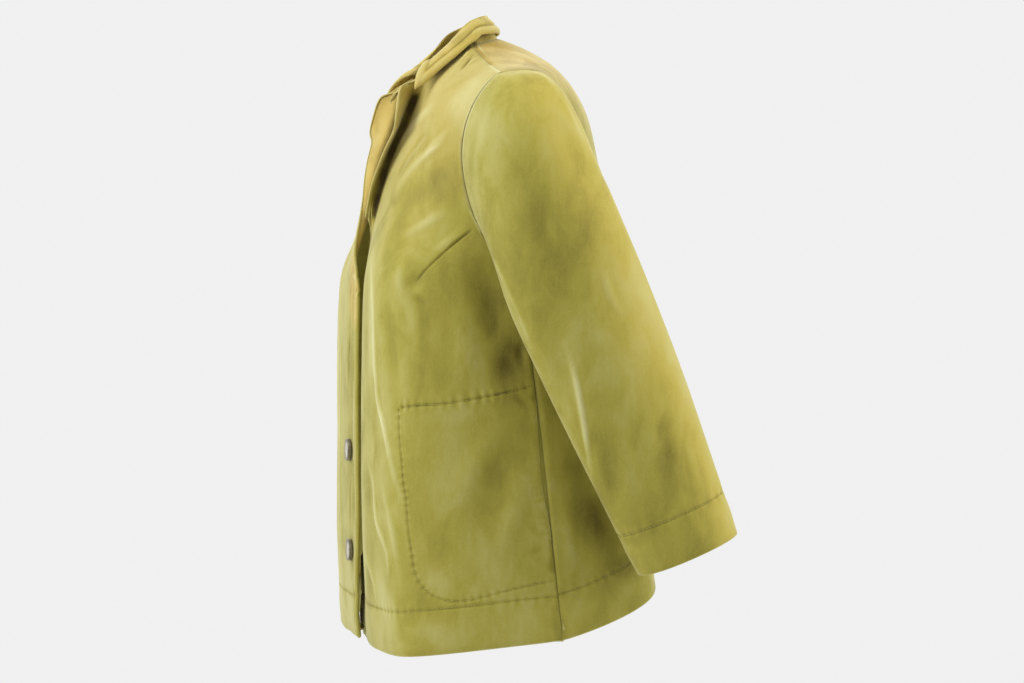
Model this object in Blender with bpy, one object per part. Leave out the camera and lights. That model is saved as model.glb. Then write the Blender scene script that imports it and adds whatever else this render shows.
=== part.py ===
"""Velvet jacket worn open at the neck: hollow cloth shell, collar, sleeves, pocket strips and buttons.

Metres, +Z up. +X is the wearer's left, -Y the front. The origin is the middle of the neck base,
at the height of the neck end of the shoulder seams.
"""

import math

import bmesh
import bpy
import numpy as np

# Driving dimensions
CLOTH = 0.0018  # wall of the body and sleeves
COLLAR_CLOTH = 0.0024  # two layers of velvet
COLLAR_CLEAR = 0.0008  # between the collar's fall and the panels
SEAM_GAP = 0.0005  # between the outer edges of neighbouring pieces
NECK_HALF = 0.066  # neck end of the shoulder seam
NECK_SHARE = 0.38  # the part of the back's top row that lies along the neckline
SHOULDER_DROP = 0.040
ARMHOLE_BOTTOM = -0.213
ARMHOLE_FRONT = 0.043  # depth of the armhole's front and back halves
ARMHOLE_BACK = 0.060
ARMHOLE_RISE = 0.007  # how far the back half rises over the shoulder tip
ARMHOLE_START = 0.002  # the shoulder tip's place along Y, and how far back the underarm lies from it
ARMHOLE_SHIFT = 0.020
ARMHOLE_SIDE = 0.1795  # mean distance of the armhole from the centre, and how far it
ARMHOLE_HOLLOW = 0.0085  # curves in at mid height, leans out at the shoulder
ARMHOLE_TIP = 0.0025
ARMHOLE_WING = 0.002  # and stands out at the back
OVERLAP = 0.022  # free edge past the centre front
EDGE_LIFT = 0.0145  # how far the right front stands off the left one at its free edge
LIFT_WIDTH = 0.075  # how far across the right front this reaches
LIFT_TOP = -0.150  # where it starts, and the height over which it grows
LIFT_GROWS = 0.050
LIFT_LOW = -0.552  # below this it shrinks towards the hem, over the next height
LIFT_SHRINKS = 0.120
SEAM_EASE = (1.0, 0.5, 0.2)  # how far a seam's shift reaches the columns next to it
SHOULDER_SAG = 0.003  # of the shoulder seam between its ends
ROW_ROUND = 0.35  # how much a row's depth adds to the reach of its curve
LAPEL_ROLL = 0.0042  # radius of the lapel's roll
LAPEL_TURN = math.radians(160)  # how far a lapel turns back
LEAST_ROLLED = 0.4  # the least and the most of a strip's width that its roll's columns cover
MOST_ROLLED = 0.8
BUTTON_RADIUS = 0.011
BUTTON_THICK = 0.0036
BUTTON_HEIGHTS = (-0.397, -0.496)
BUTTON_GAP = 0.0003
BUTTON_STEPS = 20  # sides round
# A button's section from its middle over the rim to its back, in shares of its radius and thickness.
BUTTON_PROFILE = (
    dict(out=0.0, up=0.45),
    dict(out=0.55, up=0.45),
    dict(out=0.72, up=0.85),
    dict(out=0.86, up=1.0),
    dict(out=0.97, up=0.82),
    dict(out=1.0, up=0.45),
    dict(out=0.93, up=0.12),
    dict(out=0.8, up=0.0),
    dict(out=0.0, up=0.0),
)

# Grid sizes
ROW_STEPS = 2  # grid rows between two neighbouring table rows
FRONT_COLUMNS = 15
BACK_COLUMNS = 14  # on each side of the centre back
STRIP_COLUMNS = 6
SLEEVE_AROUND = 24
CAP_STEPS = 8
COLLAR_STEPS = 28
COLLAR_FALL = 5  # the first point of a collar section that lies over the panels

# Front rows, hem to shoulder seam. x, y, z: the point on the lapel's roll line or, below the break,
# just inside the free edge. strip: width past it. turn, late: share of the lapel's turn on the
# right and the left front. dip: how far the middle of the row hangs down.
FRONT_ROWS = (
    dict(x=-0.010, y=-0.0930, z=-0.580, strip=0.005, turn=0.0, late=0.0, full=0.60, out=0.62, dip=0.009),
    dict(x=-0.010, y=-0.0925, z=-0.480, strip=0.012, turn=0.0, late=0.0, full=0.60, out=0.60, dip=0.006),
    dict(x=-0.010, y=-0.0935, z=-0.385, strip=0.012, turn=0.0, late=0.0, full=0.60, out=0.58, dip=0.0),
    dict(x=-0.010, y=-0.0935, z=-0.300, strip=0.012, turn=0.0, late=0.0, full=0.60, out=0.56, dip=0.0),
    dict(x=-0.009, y=-0.0925, z=-0.232, strip=0.013, turn=0.0, late=0.0, full=0.58, out=0.54, dip=0.0),
    dict(x=0.004, y=-0.0885, z=-0.190, strip=0.009, turn=0.40, late=0.0, full=0.52, out=0.50, dip=0.0),
    dict(x=0.017, y=-0.0820, z=-0.153, strip=0.013, turn=0.95, late=0.80, full=0.48, out=0.45, dip=0.0),
    dict(x=0.031, y=-0.0725, z=-0.115, strip=0.020, turn=1.0, late=1.0, full=0.44, out=0.42, dip=0.0),
    dict(x=0.0435, y=-0.0560, z=-0.075, strip=0.030, turn=1.0, late=1.0, full=0.42, out=0.40, dip=0.0),
    dict(x=0.0525, y=-0.0465, z=-0.0435, strip=0.044, turn=1.0, late=1.0, full=0.38, out=0.36, dip=0.0),
    dict(x=0.0545, y=-0.0375, z=-0.0305, strip=0.004, turn=0.5, late=0.5, full=0.37, out=0.35, dip=0.0),
    dict(x=0.0600, y=-0.0175, z=-0.0135, strip=0.003, turn=0.0, late=0.0, full=0.35, out=0.34, dip=0.0),
    dict(x=NECK_HALF, y=0.0, z=0.0, strip=0.003, turn=0.0, late=0.0, full=0.33, out=0.33, dip=0.0),
)
# How far each row's lapel edge falls below a line square to the roll.
LAPEL_FALLS = (0.0, 0.0, 0.0, 0.0, 0.0, 0.0, 0.0, 0.006, 0.018, 0.036, 0.0, 0.0, 0.0)
# Back rows at the same levels: y, z of the centre back.
BACK_ROWS = (
    dict(y=0.1600, z=-0.512, full=0.56, out=0.56, dip=-0.020),
    dict(y=0.1545, z=-0.422, full=0.56, out=0.56, dip=-0.012),
    dict(y=0.1515, z=-0.340, full=0.56, out=0.56, dip=0.0),
    dict(y=0.1455, z=-0.268, full=0.56, out=0.55, dip=0.0),
    dict(y=0.1405, z=-0.203, full=0.55, out=0.54, dip=0.0),
    dict(y=0.1355, z=-0.164, full=0.54, out=0.50, dip=0.0),
    dict(y=0.1305, z=-0.128, full=0.52, out=0.45, dip=0.0),
    dict(y=0.1250, z=-0.092, full=0.50, out=0.40, dip=0.0),
    dict(y=0.1185, z=-0.060, full=0.48, out=0.38, dip=0.0),
    dict(y=0.1050, z=-0.032, full=0.46, out=0.36, dip=0.0),
    dict(y=0.0860, z=-0.008, full=0.43, out=0.35, dip=0.0),
    dict(y=0.0640, z=0.0065, full=0.38, out=0.34, dip=0.0),
    dict(y=0.0400, z=0.012, full=0.35, out=0.33, dip=0.0),
)
# Side seam, hem to just below the underarm, then the armhole's rows by their angle from the tip.
SIDE_ROWS = (
    dict(x=0.220, y=0.053, z=-0.564),
    dict(x=0.209, y=0.046, z=-0.470),
    dict(x=0.199, y=0.038, z=-0.375),
    dict(x=0.191, y=0.029, z=-0.290),
)
ARMHOLE_DEGREES = (180, 156, 130, 104, 80, 60, 42, 21, 0)
# How much each front row leaves the centre front forwards.
FRONT_SLOPES = (-0.07, -0.19, -0.20, -0.20, -0.20, -0.14, -0.04, 0.04, 0.06, 0.08, 0.10, 0.12, 0.14)
# How far each row has turned round the side where it ends, in degrees.
ROW_TURNS = (88, 88, 88, 88, 84, 66, 52, 44, 36, 28, 20, 10, 0)
# Sleeve sections below the cap: x, y, z of the centre, half the depth and half the thickness.
SLEEVE_ROWS = (
    dict(x=0.2400, y=0.0630, z=-0.2480, deep=0.0650, thick=0.0405),
    dict(x=0.2450, y=0.0850, z=-0.3000, deep=0.0630, thick=0.0400),
    dict(x=0.2490, y=0.1060, z=-0.3500, deep=0.0605, thick=0.0385),
    dict(x=0.2515, y=0.1265, z=-0.3990, deep=0.0568, thick=0.0370),
    dict(x=0.2530, y=0.1450, z=-0.4430, deep=0.0535, thick=0.0360),
    dict(x=0.2540, y=0.1620, z=-0.4830, deep=0.0503, thick=0.0350),
)
SLEEVE_LEAN = math.radians(22.6)  # the sleeve hangs towards the back
SLEEVE_SQUARE = 2.3  # 2 makes its sections ellipses, more makes them squarer
CAP_LEAVE = 1.05  # how long the cap holds its first direction, a share of its length
CAP_DROOP = 0.55  # how far that direction falls at the underarm
CAP_LIFT = 0.05  # and rises at the shoulder
# Collar sections from the centre back to the front end: neck seam, fold and outer edge.
COLLAR_ROWS = (
    dict(neck=(0.000, 0.0370, 0.0120), fold=(0.000, 0.0270, 0.0340), edge=(0.000, 0.0425, 0.0175)),
    dict(neck=(0.0292, 0.0326, 0.0108), fold=(0.025, 0.0225, 0.0335), edge=(0.036, 0.0350, 0.0155)),
    dict(neck=(0.0530, 0.0165, 0.0050), fold=(0.042, 0.0120, 0.0300), edge=(0.063, 0.0180, 0.0110)),
    dict(neck=(0.0600, 0.0010, 0.0003), fold=(0.045, 0.0010, 0.0235), edge=(0.075, 0.0030, 0.0040)),
    dict(neck=(0.0550, -0.0110, -0.0082), fold=(0.043, -0.0110, 0.0105), edge=(0.0782, -0.0150, -0.0105)),
    dict(neck=(0.0530, -0.0190, -0.0140), fold=(0.0425, -0.0240, -0.0030), edge=(0.0805, -0.0335, -0.0255)),
    dict(neck=(0.0515, -0.0245, -0.0180), fold=(0.0430, -0.0345, -0.0125), edge=(0.0825, -0.0480, -0.0390)),
    dict(neck=(0.0505, -0.0290, -0.0213), fold=(0.0450, -0.0405, -0.0190), edge=(0.0835, -0.0589, -0.0457)),
)
# Soft folds of the cloth: where they lie (column 0 centre to 1 side, row number), how broad, how high.
FRONT_FOLDS = (
    dict(column=0.16, row=1.5, wide=0.05, long=3.6, high=0.0030),
    dict(column=0.36, row=1.0, wide=0.07, long=3.0, high=-0.0032),
    dict(column=0.55, row=0.8, wide=0.06, long=2.2, high=0.0022),
    dict(column=0.62, row=6.0, wide=0.10, long=1.6, high=-0.0030),
)
BACK_FOLDS = (
    dict(column=0.20, row=1.0, wide=0.08, long=3.4, high=0.0035),
    dict(column=0.45, row=1.2, wide=0.08, long=3.2, high=-0.0040),
    dict(column=0.72, row=1.0, wide=0.08, long=3.0, high=0.0035),
)
FOLD_REACH = 2.2  # where a fold has died out across, as a multiple of its width
FOLD_SHIFT = 0.05  # how the folds of the right half of the back differ: in column and in height
FOLD_OTHER = 0.8
# Pocket slit in the side seam, in rows, and how far the front's edge stands forward of it.
SLIT_ROWS = (0.92, 2.34)
SLIT_OPEN = 0.0055
SLIT_EASE = (1.0, 0.55, 0.15)  # how far this reaches the columns next to the edge
POCKET_STRIP = 0.016
POCKET_CLOTH = 0.0012
POCKET_IN = 0.0008  # behind the panels' inner faces
POCKET_ENDS = 0.05  # how far the strip stops short of the slit's ends, in rows
POCKET_FORWARD = 0.57  # the part of its width that lies forward of the seam
LIE_REACH = 0.015  # a point further than this from a panel doesn't lie on it
SHARP = math.radians(40)  # edges sharper than this stay sharp in shading


def clear_scene():
    for obj in list(bpy.data.objects):
        bpy.data.objects.remove(obj, do_unlink=True)


def material(name, colour, rough, metallic=0.0):
    made = bpy.data.materials.new(name)
    made.use_nodes = True
    shader = made.node_tree.nodes["Principled BSDF"]
    shader.inputs["Base Color"].default_value = (*colour, 1.0)
    shader.inputs["Roughness"].default_value = rough
    shader.inputs["Metallic"].default_value = metallic
    return made


def spline(keys, t):
    """A Catmull-Rom curve through evenly spaced keys, each an array of any shape."""
    last = len(keys) - 1
    i = min(int(t), last - 1)
    f = t - i
    before = keys[i - 1] if i else 2 * keys[0] - keys[1]
    after = keys[i + 2] if i + 2 <= last else 2 * keys[last] - keys[last - 1]
    a, b = keys[i], keys[i + 1]
    return 0.5 * (
        2 * a
        + (b - before) * f
        + (2 * before - 5 * a + 4 * b - after) * f**2
        + (3 * (a - b) + after - before) * f**3
    )


def bezier(a, b, c, d, s):
    s = np.asarray(s)[:, None]
    return a * (1 - s) ** 3 + 3 * b * s * (1 - s) ** 2 + 3 * c * s**2 * (1 - s) + d * s**3


def bump(distance, reach):
    """1 at the middle, falling smoothly to 0 at the reach."""
    share = min(abs(distance) / reach, 1.0)
    return (1 - share**2) ** 2


def armhole(degrees, side):
    """A point of the armhole seam. side is -1 for its front half and 1 for its fuller back half."""
    turn = math.radians(degrees)
    across, upright = math.sin(turn), math.cos(turn)
    rise = 0.0
    if side < 0:
        depth = ARMHOLE_FRONT * across ** (1.5 if degrees < 90 else 0.75)
    else:
        depth = ARMHOLE_BACK * across ** (0.55 if degrees < 90 else 0.9)
        if degrees < 90:
            rise = ARMHOLE_RISE * math.sin(2 * turn) ** 0.5
            upright = upright**0.6
    high = (-SHOULDER_DROP - ARMHOLE_BOTTOM) / 2
    y = ARMHOLE_START + ARMHOLE_SHIFT * (1 - math.cos(turn)) / 2 + side * depth
    z = -SHOULDER_DROP - high + high * upright + rise
    x = ARMHOLE_SIDE + ARMHOLE_HOLLOW * math.cos(2 * turn) + ARMHOLE_TIP * math.cos(turn)
    x += ARMHOLE_WING * side * across
    return np.array([x, y, z])


def outer_point(t, side):
    """A front's (side -1) or the back's (side 1) outer edge at row t, cornered at the underarm."""
    corner = len(SIDE_ROWS)
    if t >= corner:
        angles = [np.array(float(degrees)) for degrees in ARMHOLE_DEGREES]
        point = armhole(min(max(float(spline(angles, t - corner)), 0.0), 180.0), side)
    else:
        seam = [np.array([row["x"], row["y"], row["z"]]) for row in SIDE_ROWS]
        point = spline(seam + [armhole(180, side)], t)
    return point + np.array([0.0, side * SEAM_GAP / 2, 0.0])


def outer_points(side):
    return [outer_point(i, side) for i in range(len(FRONT_ROWS))]


def fit_outer_edge(grid, rows, side):
    """Puts a panel's outer column exactly on its seam, easing its neighbours along."""
    for i, t in enumerate(rows):
        shift = outer_point(t, side) - grid[i, -1]
        for column, part in zip((-1, -2, -3), SEAM_EASE):
            grid[i, column] += shift * part


def row_curve(inner, outer, row, start, side, turned, shares):
    """A row across a panel: it leaves the centre crosswise and meets the side seam turned round it."""
    reach = abs(outer[0] - inner[0]) + ROW_ROUND * abs(outer[1] - inner[1])
    crossing = np.array([math.cos(turned), -side * math.sin(turned), 0.0])
    rise = np.array([0.0, 0.0, (outer[2] - inner[2]) / 3])
    first = inner + start * reach * row["full"] + rise
    last = outer - crossing * reach * row["out"] - rise
    return bezier(inner, first, last, outer, shares)


def front_key_rows(shares):
    keys = []
    for i, (row, outer) in enumerate(zip(FRONT_ROWS, outer_points(-1))):
        inner = np.array([row["x"], row["y"], row["z"]])
        if i == len(FRONT_ROWS) - 1:
            keys.append(seam_row(shares, -1))
            continue
        start = np.array([1.0, FRONT_SLOPES[i], 0.0])
        line = row_curve(inner, outer, row, start, -1, math.radians(ROW_TURNS[i]), shares)
        line[:, 2] -= row["dip"] * np.sin(math.pi * shares)
        keys.append(line)
    return keys


def seam_row(shares, side):
    """The shoulder seam from the neck to the shoulder tip."""
    start = np.array([NECK_HALF, side * SEAM_GAP / 2, 0.0])
    end = outer_points(side)[-1]
    sag = np.array([0.0, 0.0, -SHOULDER_SAG])
    return np.array([start + (end - start) * s + sag * math.sin(math.pi * s) for s in shares])


def back_key_rows(shares):
    keys = []
    points = outer_points(1)
    for i, row in enumerate(BACK_ROWS):
        inner = np.array([0.0, row["y"], row["z"]])
        if i == len(BACK_ROWS) - 1:
            keys.append(neck_and_seam(inner, shares))
            continue
        start = np.array([1.0, 0.0, 0.0])
        line = row_curve(inner, points[i], row, start, 1, math.radians(ROW_TURNS[i]), shares)
        line[:, 2] -= row["dip"] * np.sin(math.pi * shares)
        keys.append(line)
    return keys


def neck_and_seam(centre, shares):
    found = []
    for s in shares:
        if s < NECK_SHARE:
            turn = math.pi / 2 * s / NECK_SHARE
            x = NECK_HALF * math.sin(turn)
            y = SEAM_GAP / 2 + (centre[1] - SEAM_GAP / 2) * math.cos(turn)
            found.append((x, y, centre[2] * math.cos(turn) ** 1.2))
        else:
            found.append(seam_row([(s - NECK_SHARE) / (1 - NECK_SHARE)], 1)[0])
    return np.array(found)


def normals_of(grid):
    """Outward normals of a grid whose columns run to the wearer's left and whose rows run up."""
    across = np.gradient(grid, axis=1)
    up = np.gradient(grid, axis=0)
    found = np.cross(across, up)
    return found / np.linalg.norm(found, axis=2, keepdims=True)


def add_folds(grid, folds, columns, rows):
    normals = normals_of(grid)
    for i, row in enumerate(rows):
        for j, column in enumerate(columns):
            high = 0.0
            for fold in folds:
                along = bump(row - fold["row"], fold["long"])
                high += fold["high"] * along * bump(column - fold["column"], fold["wide"] * FOLD_REACH)
            grid[i, j] += normals[i, j] * high
    return grid


def row_numbers():
    count = (len(FRONT_ROWS) - 1) * ROW_STEPS
    return [i / ROW_STEPS for i in range(count + 1)]


def strip_points(base, inward, normal, width, turn, fall):
    """The edge strip of one row: it rolls back by turn, then runs straight to its lowered edge."""
    found = []
    place = base.copy()
    length = 0.0
    rolled = min(max(LAPEL_ROLL * turn, LEAST_ROLLED * width), MOST_ROLLED * width)
    stations = strip_stations(width, rolled)
    for station in stations:
        step = station - length
        middle = min((length + step / 2) / LAPEL_ROLL, turn)
        place = place + step * (inward * math.cos(middle) + normal * math.sin(middle))
        found.append(place + fall * station / width)
        length = station
    return found


def strip_stations(width, rolled):
    """Distances along a strip: close together in its roll, then evenly to its edge."""
    close = STRIP_COLUMNS // 2 + 1
    in_roll = [rolled * (i + 1) / close for i in range(close)]
    rest = STRIP_COLUMNS - close
    return in_roll + [rolled + (width - rolled) * (i + 1) / rest for i in range(rest)]


def between(values, t):
    """A value at row t, by straight interpolation."""
    i = min(int(t), len(values) - 2)
    return values[i] + (values[i + 1] - values[i]) * (t - i)


def front_value(name, t):
    return between([row[name] for row in FRONT_ROWS], t)


def front_surface(turn_name):
    """The left front's outer points: rows from hem to shoulder, columns from free edge to side."""
    shares = np.linspace(0, 1, FRONT_COLUMNS + 1)
    keys = front_key_rows(shares)
    rows = row_numbers()
    grid = np.array([spline(keys, t) for t in rows])
    fit_outer_edge(grid, rows, -1)
    grid = add_folds(grid, FRONT_FOLDS, shares, rows)
    open_slit(grid, rows)
    normals = normals_of(grid)
    strips = []
    for i, t in enumerate(rows):
        up = grid[min(i + 1, len(rows) - 1), 0] - grid[max(i - 1, 0), 0]
        up /= np.linalg.norm(up)
        inward = np.cross(up, normals[i, 0])
        inward *= np.sign(np.dot(inward, grid[i, 0] - grid[i, 1])) / np.linalg.norm(inward)
        turn = LAPEL_TURN * front_value(turn_name, t)
        fall = -up * between(LAPEL_FALLS, t)
        strips.append(strip_points(grid[i, 0], inward, normals[i, 0], front_value("strip", t), turn, fall))
    strips = np.array(strips)[:, ::-1]
    return np.concatenate([strips, grid], axis=1)


def open_slit(grid, rows):
    """Moves the front's side edge forward along the pocket slit."""
    low, high = SLIT_ROWS
    for i, t in enumerate(rows):
        if low < t < high:
            share = math.sin(math.pi * (t - low) / (high - low))
            for column, part in zip((-1, -2, -3), SLIT_EASE):
                grid[i, column, 1] -= SLIT_OPEN * share * part


def lifted_edge(grid):
    """The right front's copy of the left front's points, mirrored, its edge standing off."""
    found = grid.copy()
    for i in range(found.shape[0]):
        for j in range(found.shape[1]):
            x = found[i, j, 0]
            z = found[i, j, 2]
            near = 1.0 - min(max((x + OVERLAP) / LIFT_WIDTH, 0.0), 1.0)
            low = min(max((LIFT_TOP - z) / LIFT_GROWS, 0.0), 1.0)
            low *= min(1.0, 1.0 + (z - LIFT_LOW) / LIFT_SHRINKS)
            found[i, j, 1] -= EDGE_LIFT * near * (2 - near) * low
    found[:, :, 0] *= -1
    return found[:, ::-1]


def back_surface():
    """The back's outer points, columns from the wearer's right armhole to the left one."""
    shares = np.linspace(0, 1, BACK_COLUMNS + 1)
    keys = back_key_rows(shares)
    rows = row_numbers()
    half = np.array([spline(keys, t) for t in rows])
    fit_outer_edge(half, rows, 1)
    mirrored = half[:, :0:-1] * np.array([-1.0, 1.0, 1.0])
    grid = np.concatenate([mirrored, half], axis=1)
    columns = np.concatenate([-shares[:0:-1], shares])
    folds = list(BACK_FOLDS)
    for fold in BACK_FOLDS:
        folds.append(dict(fold, column=FOLD_SHIFT - fold["column"], high=fold["high"] * FOLD_OTHER))
    grid = grid[:, ::-1]
    return add_folds(grid, folds, columns[::-1], rows)


def wall(name, outer, inner, look, closed=False):
    """A closed solid between two grids of points; closed joins the last column to the first."""
    rows, columns = outer.shape[:2]
    bm = bmesh.new()
    sheets = []
    for sheet in (outer, inner):
        sheets.append([[bm.verts.new(p) for p in line] for line in sheet])
    last = columns if closed else columns - 1
    for i in range(rows - 1):
        for j in range(last):
            k = (j + 1) % columns
            for sheet, order in ((sheets[0], 1), (sheets[1], -1)):
                corners = [sheet[i][j], sheet[i][k], sheet[i + 1][k], sheet[i + 1][j]]
                bm.faces.new(corners[::order])
    outside, inside = sheets
    for j in range(last):
        k = (j + 1) % columns
        bm.faces.new((inside[0][j], inside[0][k], outside[0][k], outside[0][j]))
        bm.faces.new((outside[-1][j], outside[-1][k], inside[-1][k], inside[-1][j]))
    if not closed:
        for i in range(rows - 1):
            bm.faces.new((inside[i + 1][0], inside[i][0], outside[i][0], outside[i + 1][0]))
            bm.faces.new((outside[i + 1][-1], outside[i][-1], inside[i][-1], inside[i + 1][-1]))
    bmesh.ops.recalc_face_normals(bm, faces=bm.faces)
    bmesh.ops.triangulate(bm, faces=bm.faces)
    mesh = bpy.data.meshes.new(name)
    bm.to_mesh(mesh)
    bm.free()
    mesh.materials.append(look)
    mesh.shade_smooth()
    mesh.set_sharp_from_angle(angle=SHARP)
    obj = bpy.data.objects.new(name, mesh)
    bpy.context.scene.collection.objects.link(obj)
    return obj


def shared_normals(grid, side):
    """Normals of a panel, with those along its seams set to what both neighbours share."""
    normals = normals_of(grid)
    for i in range(grid.shape[0]):
        if i <= len(SIDE_ROWS) * ROW_STEPS:
            normals[i, side] = (math.copysign(1.0, grid[i, side, 0]), 0.0, 0.0)
    normals[-1] = normals[-1] * 0.0 + np.array([0.0, 0.0, 1.0])
    return normals


def fronts(look):
    left = front_surface("late")
    inner = left - shared_normals(left, -1) * CLOTH
    wall("front_left", left, inner, look)
    right = lifted_edge(front_surface("turn"))
    inner = right - shared_normals(right, 0) * CLOTH
    wall("front_right", right, inner, look)
    return left, right


def back(look):
    grid = back_surface()
    normals = normals_of(grid)
    for i in range(len(SIDE_ROWS) * ROW_STEPS + 1):
        normals[i, 0] = (1.0, 0.0, 0.0)
        normals[i, -1] = (-1.0, 0.0, 0.0)
    normals[-1] = np.array([0.0, 0.0, 1.0])
    wall("back", grid, grid - normals * CLOTH, look)
    return grid


def sleeve_ring(row):
    """One section of the left sleeve below its cap, square to the way the sleeve hangs."""
    centre = np.array([row["x"], row["y"], row["z"]])
    forward = np.array([0.0, -math.cos(SLEEVE_LEAN), -math.sin(SLEEVE_LEAN)])
    outward = np.array([1.0, 0.0, 0.0])
    ring = []
    for k in range(SLEEVE_AROUND):
        turn = 2 * math.pi * k / SLEEVE_AROUND
        c, s = math.cos(turn), math.sin(turn)
        flat = (abs(c) ** SLEEVE_SQUARE + abs(s) ** SLEEVE_SQUARE) ** (-1 / SLEEVE_SQUARE)
        ring.append(centre + outward * row["thick"] * c * flat + forward * row["deep"] * s * flat)
    return np.array(ring)


def sleeve_start():
    """The armhole seam as the sleeve's first ring, from the shoulder tip round the front."""
    ring = []
    for k in range(SLEEVE_AROUND):
        degrees = 360.0 * k / SLEEVE_AROUND
        side = -1 if degrees <= 180 else 1
        point = armhole(min(degrees, 360 - degrees), side)
        point[0] += SEAM_GAP
        ring.append(point)
    return np.array(ring)


def sleeve_surface():
    top = sleeve_start()
    rings = [sleeve_ring(row) for row in SLEEVE_ROWS]
    rows = []
    axis = np.array([0.0, math.sin(SLEEVE_LEAN), -math.cos(SLEEVE_LEAN)])
    for step in range(CAP_STEPS):
        f = step / CAP_STEPS
        line = []
        for k in range(SLEEVE_AROUND):
            turn = 2 * math.pi * k / SLEEVE_AROUND
            reach = np.linalg.norm(rings[0][k] - top[k])
            leave = np.array([1.0, 0.0, CAP_LIFT - CAP_DROOP * (1 - math.cos(turn)) / 2])
            leave = leave / np.linalg.norm(leave) * reach * CAP_LEAVE
            arrive = axis * reach
            line.append(
                top[k] * (2 * f**3 - 3 * f**2 + 1)
                + leave * (f**3 - 2 * f**2 + f)
                + rings[0][k] * (3 * f**2 - 2 * f**3)
                + arrive * (f**3 - f**2)
            )
        rows.append(line)
    for t in np.linspace(0, len(rings) - 1, 2 * (len(rings) - 1) + 1):
        rows.append(spline(rings, t))
    return np.array(rows)


def closed_normals(grid):
    across = np.roll(grid, -1, axis=1) - np.roll(grid, 1, axis=1)
    along = np.gradient(grid, axis=0)
    found = np.cross(across, along)
    found /= np.linalg.norm(found, axis=2, keepdims=True)
    middle = grid.mean(axis=1, keepdims=True)
    outward = np.sign(np.sum(found * (grid - middle), axis=2).mean())
    return found * outward


def sleeves(look):
    grid = sleeve_surface()
    normals = closed_normals(grid)
    centre = grid[0].mean(axis=0)
    for k in range(SLEEVE_AROUND):
        spoke = grid[0, k] - centre
        spoke[0] = 0.0
        normals[0, k] = spoke / np.linalg.norm(spoke)
    inner = grid - normals * CLOTH
    inner[0, :, 0] = grid[0, :, 0]
    wall("sleeve_left", grid, inner, look, closed=True)
    flip = np.array([-1.0, 1.0, 1.0])
    wall("sleeve_right", (grid * flip)[:, ::-1], (inner * flip)[:, ::-1], look, closed=True)
    return grid


def collar_section(neck, fold, edge):
    """The collar's section from neck seam up over the fold and down to the outer edge."""
    shares = np.linspace(0, 1, 5)
    outward = edge - neck
    outward[2] = 0.0
    lift = np.array([0.0, 0.0, 1.0])
    rise = fold[2] - neck[2]
    fall = fold[2] - edge[2]
    stand = bezier(neck, neck + lift * rise * 0.5, fold - outward * 0.22, fold, shares)
    drop = bezier(fold, fold + outward * 0.30, edge + lift * fall * 0.55, edge, shares)
    return np.concatenate([stand, drop[1:]])


def dense(grid, times=5):
    """A grid with points added between its own."""
    for axis in (0, 1):
        places = np.linspace(0, grid.shape[axis] - 1, (grid.shape[axis] - 1) * times + 1)
        low = np.minimum(places.astype(int), grid.shape[axis] - 2)
        share = places - low
        shape = (-1, 1, 1) if axis == 0 else (1, -1, 1)
        share = share.reshape(shape)
        grid = np.take(grid, low, axis) * (1 - share) + np.take(grid, low + 1, axis) * share
    return grid


def lift_off(points, panels, clearance):
    """Moves points out until they stand at least this far outside the panels they lie on."""
    for panel in panels:
        fine = dense(panel)
        normals = normals_of(fine).reshape(-1, 3)
        fine = fine.reshape(-1, 3)
        for place in np.ndindex(points.shape[:-1]):
            away = fine - points[place]
            nearest = np.argmin((away**2).sum(axis=1))
            if np.linalg.norm(away[nearest]) > LIE_REACH:
                continue
            height = -np.dot(away[nearest], normals[nearest])
            if height < clearance:
                points[place] += normals[nearest] * (clearance - height)


def collar(left, right, back_grid, look):
    sections = []
    for row in COLLAR_ROWS:
        points = [np.array(row[name]) for name in ("neck", "fold", "edge")]
        sections.append(collar_section(*points))
    half = [spline(sections, t) for t in np.linspace(0, len(sections) - 1, COLLAR_STEPS // 2 + 1)]
    half = np.array(half)
    bodies = (left[:, STRIP_COLUMNS:], back_grid)
    lift_off(half[:, COLLAR_FALL:], bodies, COLLAR_CLOTH + COLLAR_CLEAR)
    mirrored = half[:0:-1] * np.array([-1.0, 1.0, 1.0])
    grid = np.concatenate([mirrored, half]).transpose(1, 0, 2)
    normals = normals_of(grid)
    wall("collar", grid, grid - normals * COLLAR_CLOTH, look)
    return grid


def pocket_strips(look):
    """The edge of each pocket bag behind its slit, a little inside the panels."""
    low, high = SLIT_ROWS
    levels = np.linspace(low + POCKET_ENDS, high - POCKET_ENDS, 9)
    seam = outer_points(-1)
    steps = np.linspace(-POCKET_FORWARD, 1 - POCKET_FORWARD, 4) * POCKET_STRIP
    for name, sign in (("pocket_left", 1.0), ("pocket_right", -1.0)):
        lines = []
        for depth in (CLOTH + POCKET_IN, CLOTH + POCKET_IN + POCKET_CLOTH):
            sheet = []
            for t in levels:
                middle = spline(seam, t)
                line = [middle + np.array([-depth, step, 0.0]) for step in steps]
                sheet.append(np.array(line) * np.array([sign, 1.0, 1.0]))
            lines.append(np.array(sheet))
        outer, inner = lines
        if sign < 0:
            outer, inner = outer[:, ::-1], inner[:, ::-1]
        wall(name, outer, inner, look)


def front_depth(grid, x, z):
    """The furthest forward point of a surface behind a button at (x, z)."""
    points = grid.reshape(-1, 3)
    away = np.hypot(points[:, 0] - x, points[:, 2] - z)
    return points[away < BUTTON_RADIUS][:, 1].min()


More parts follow.
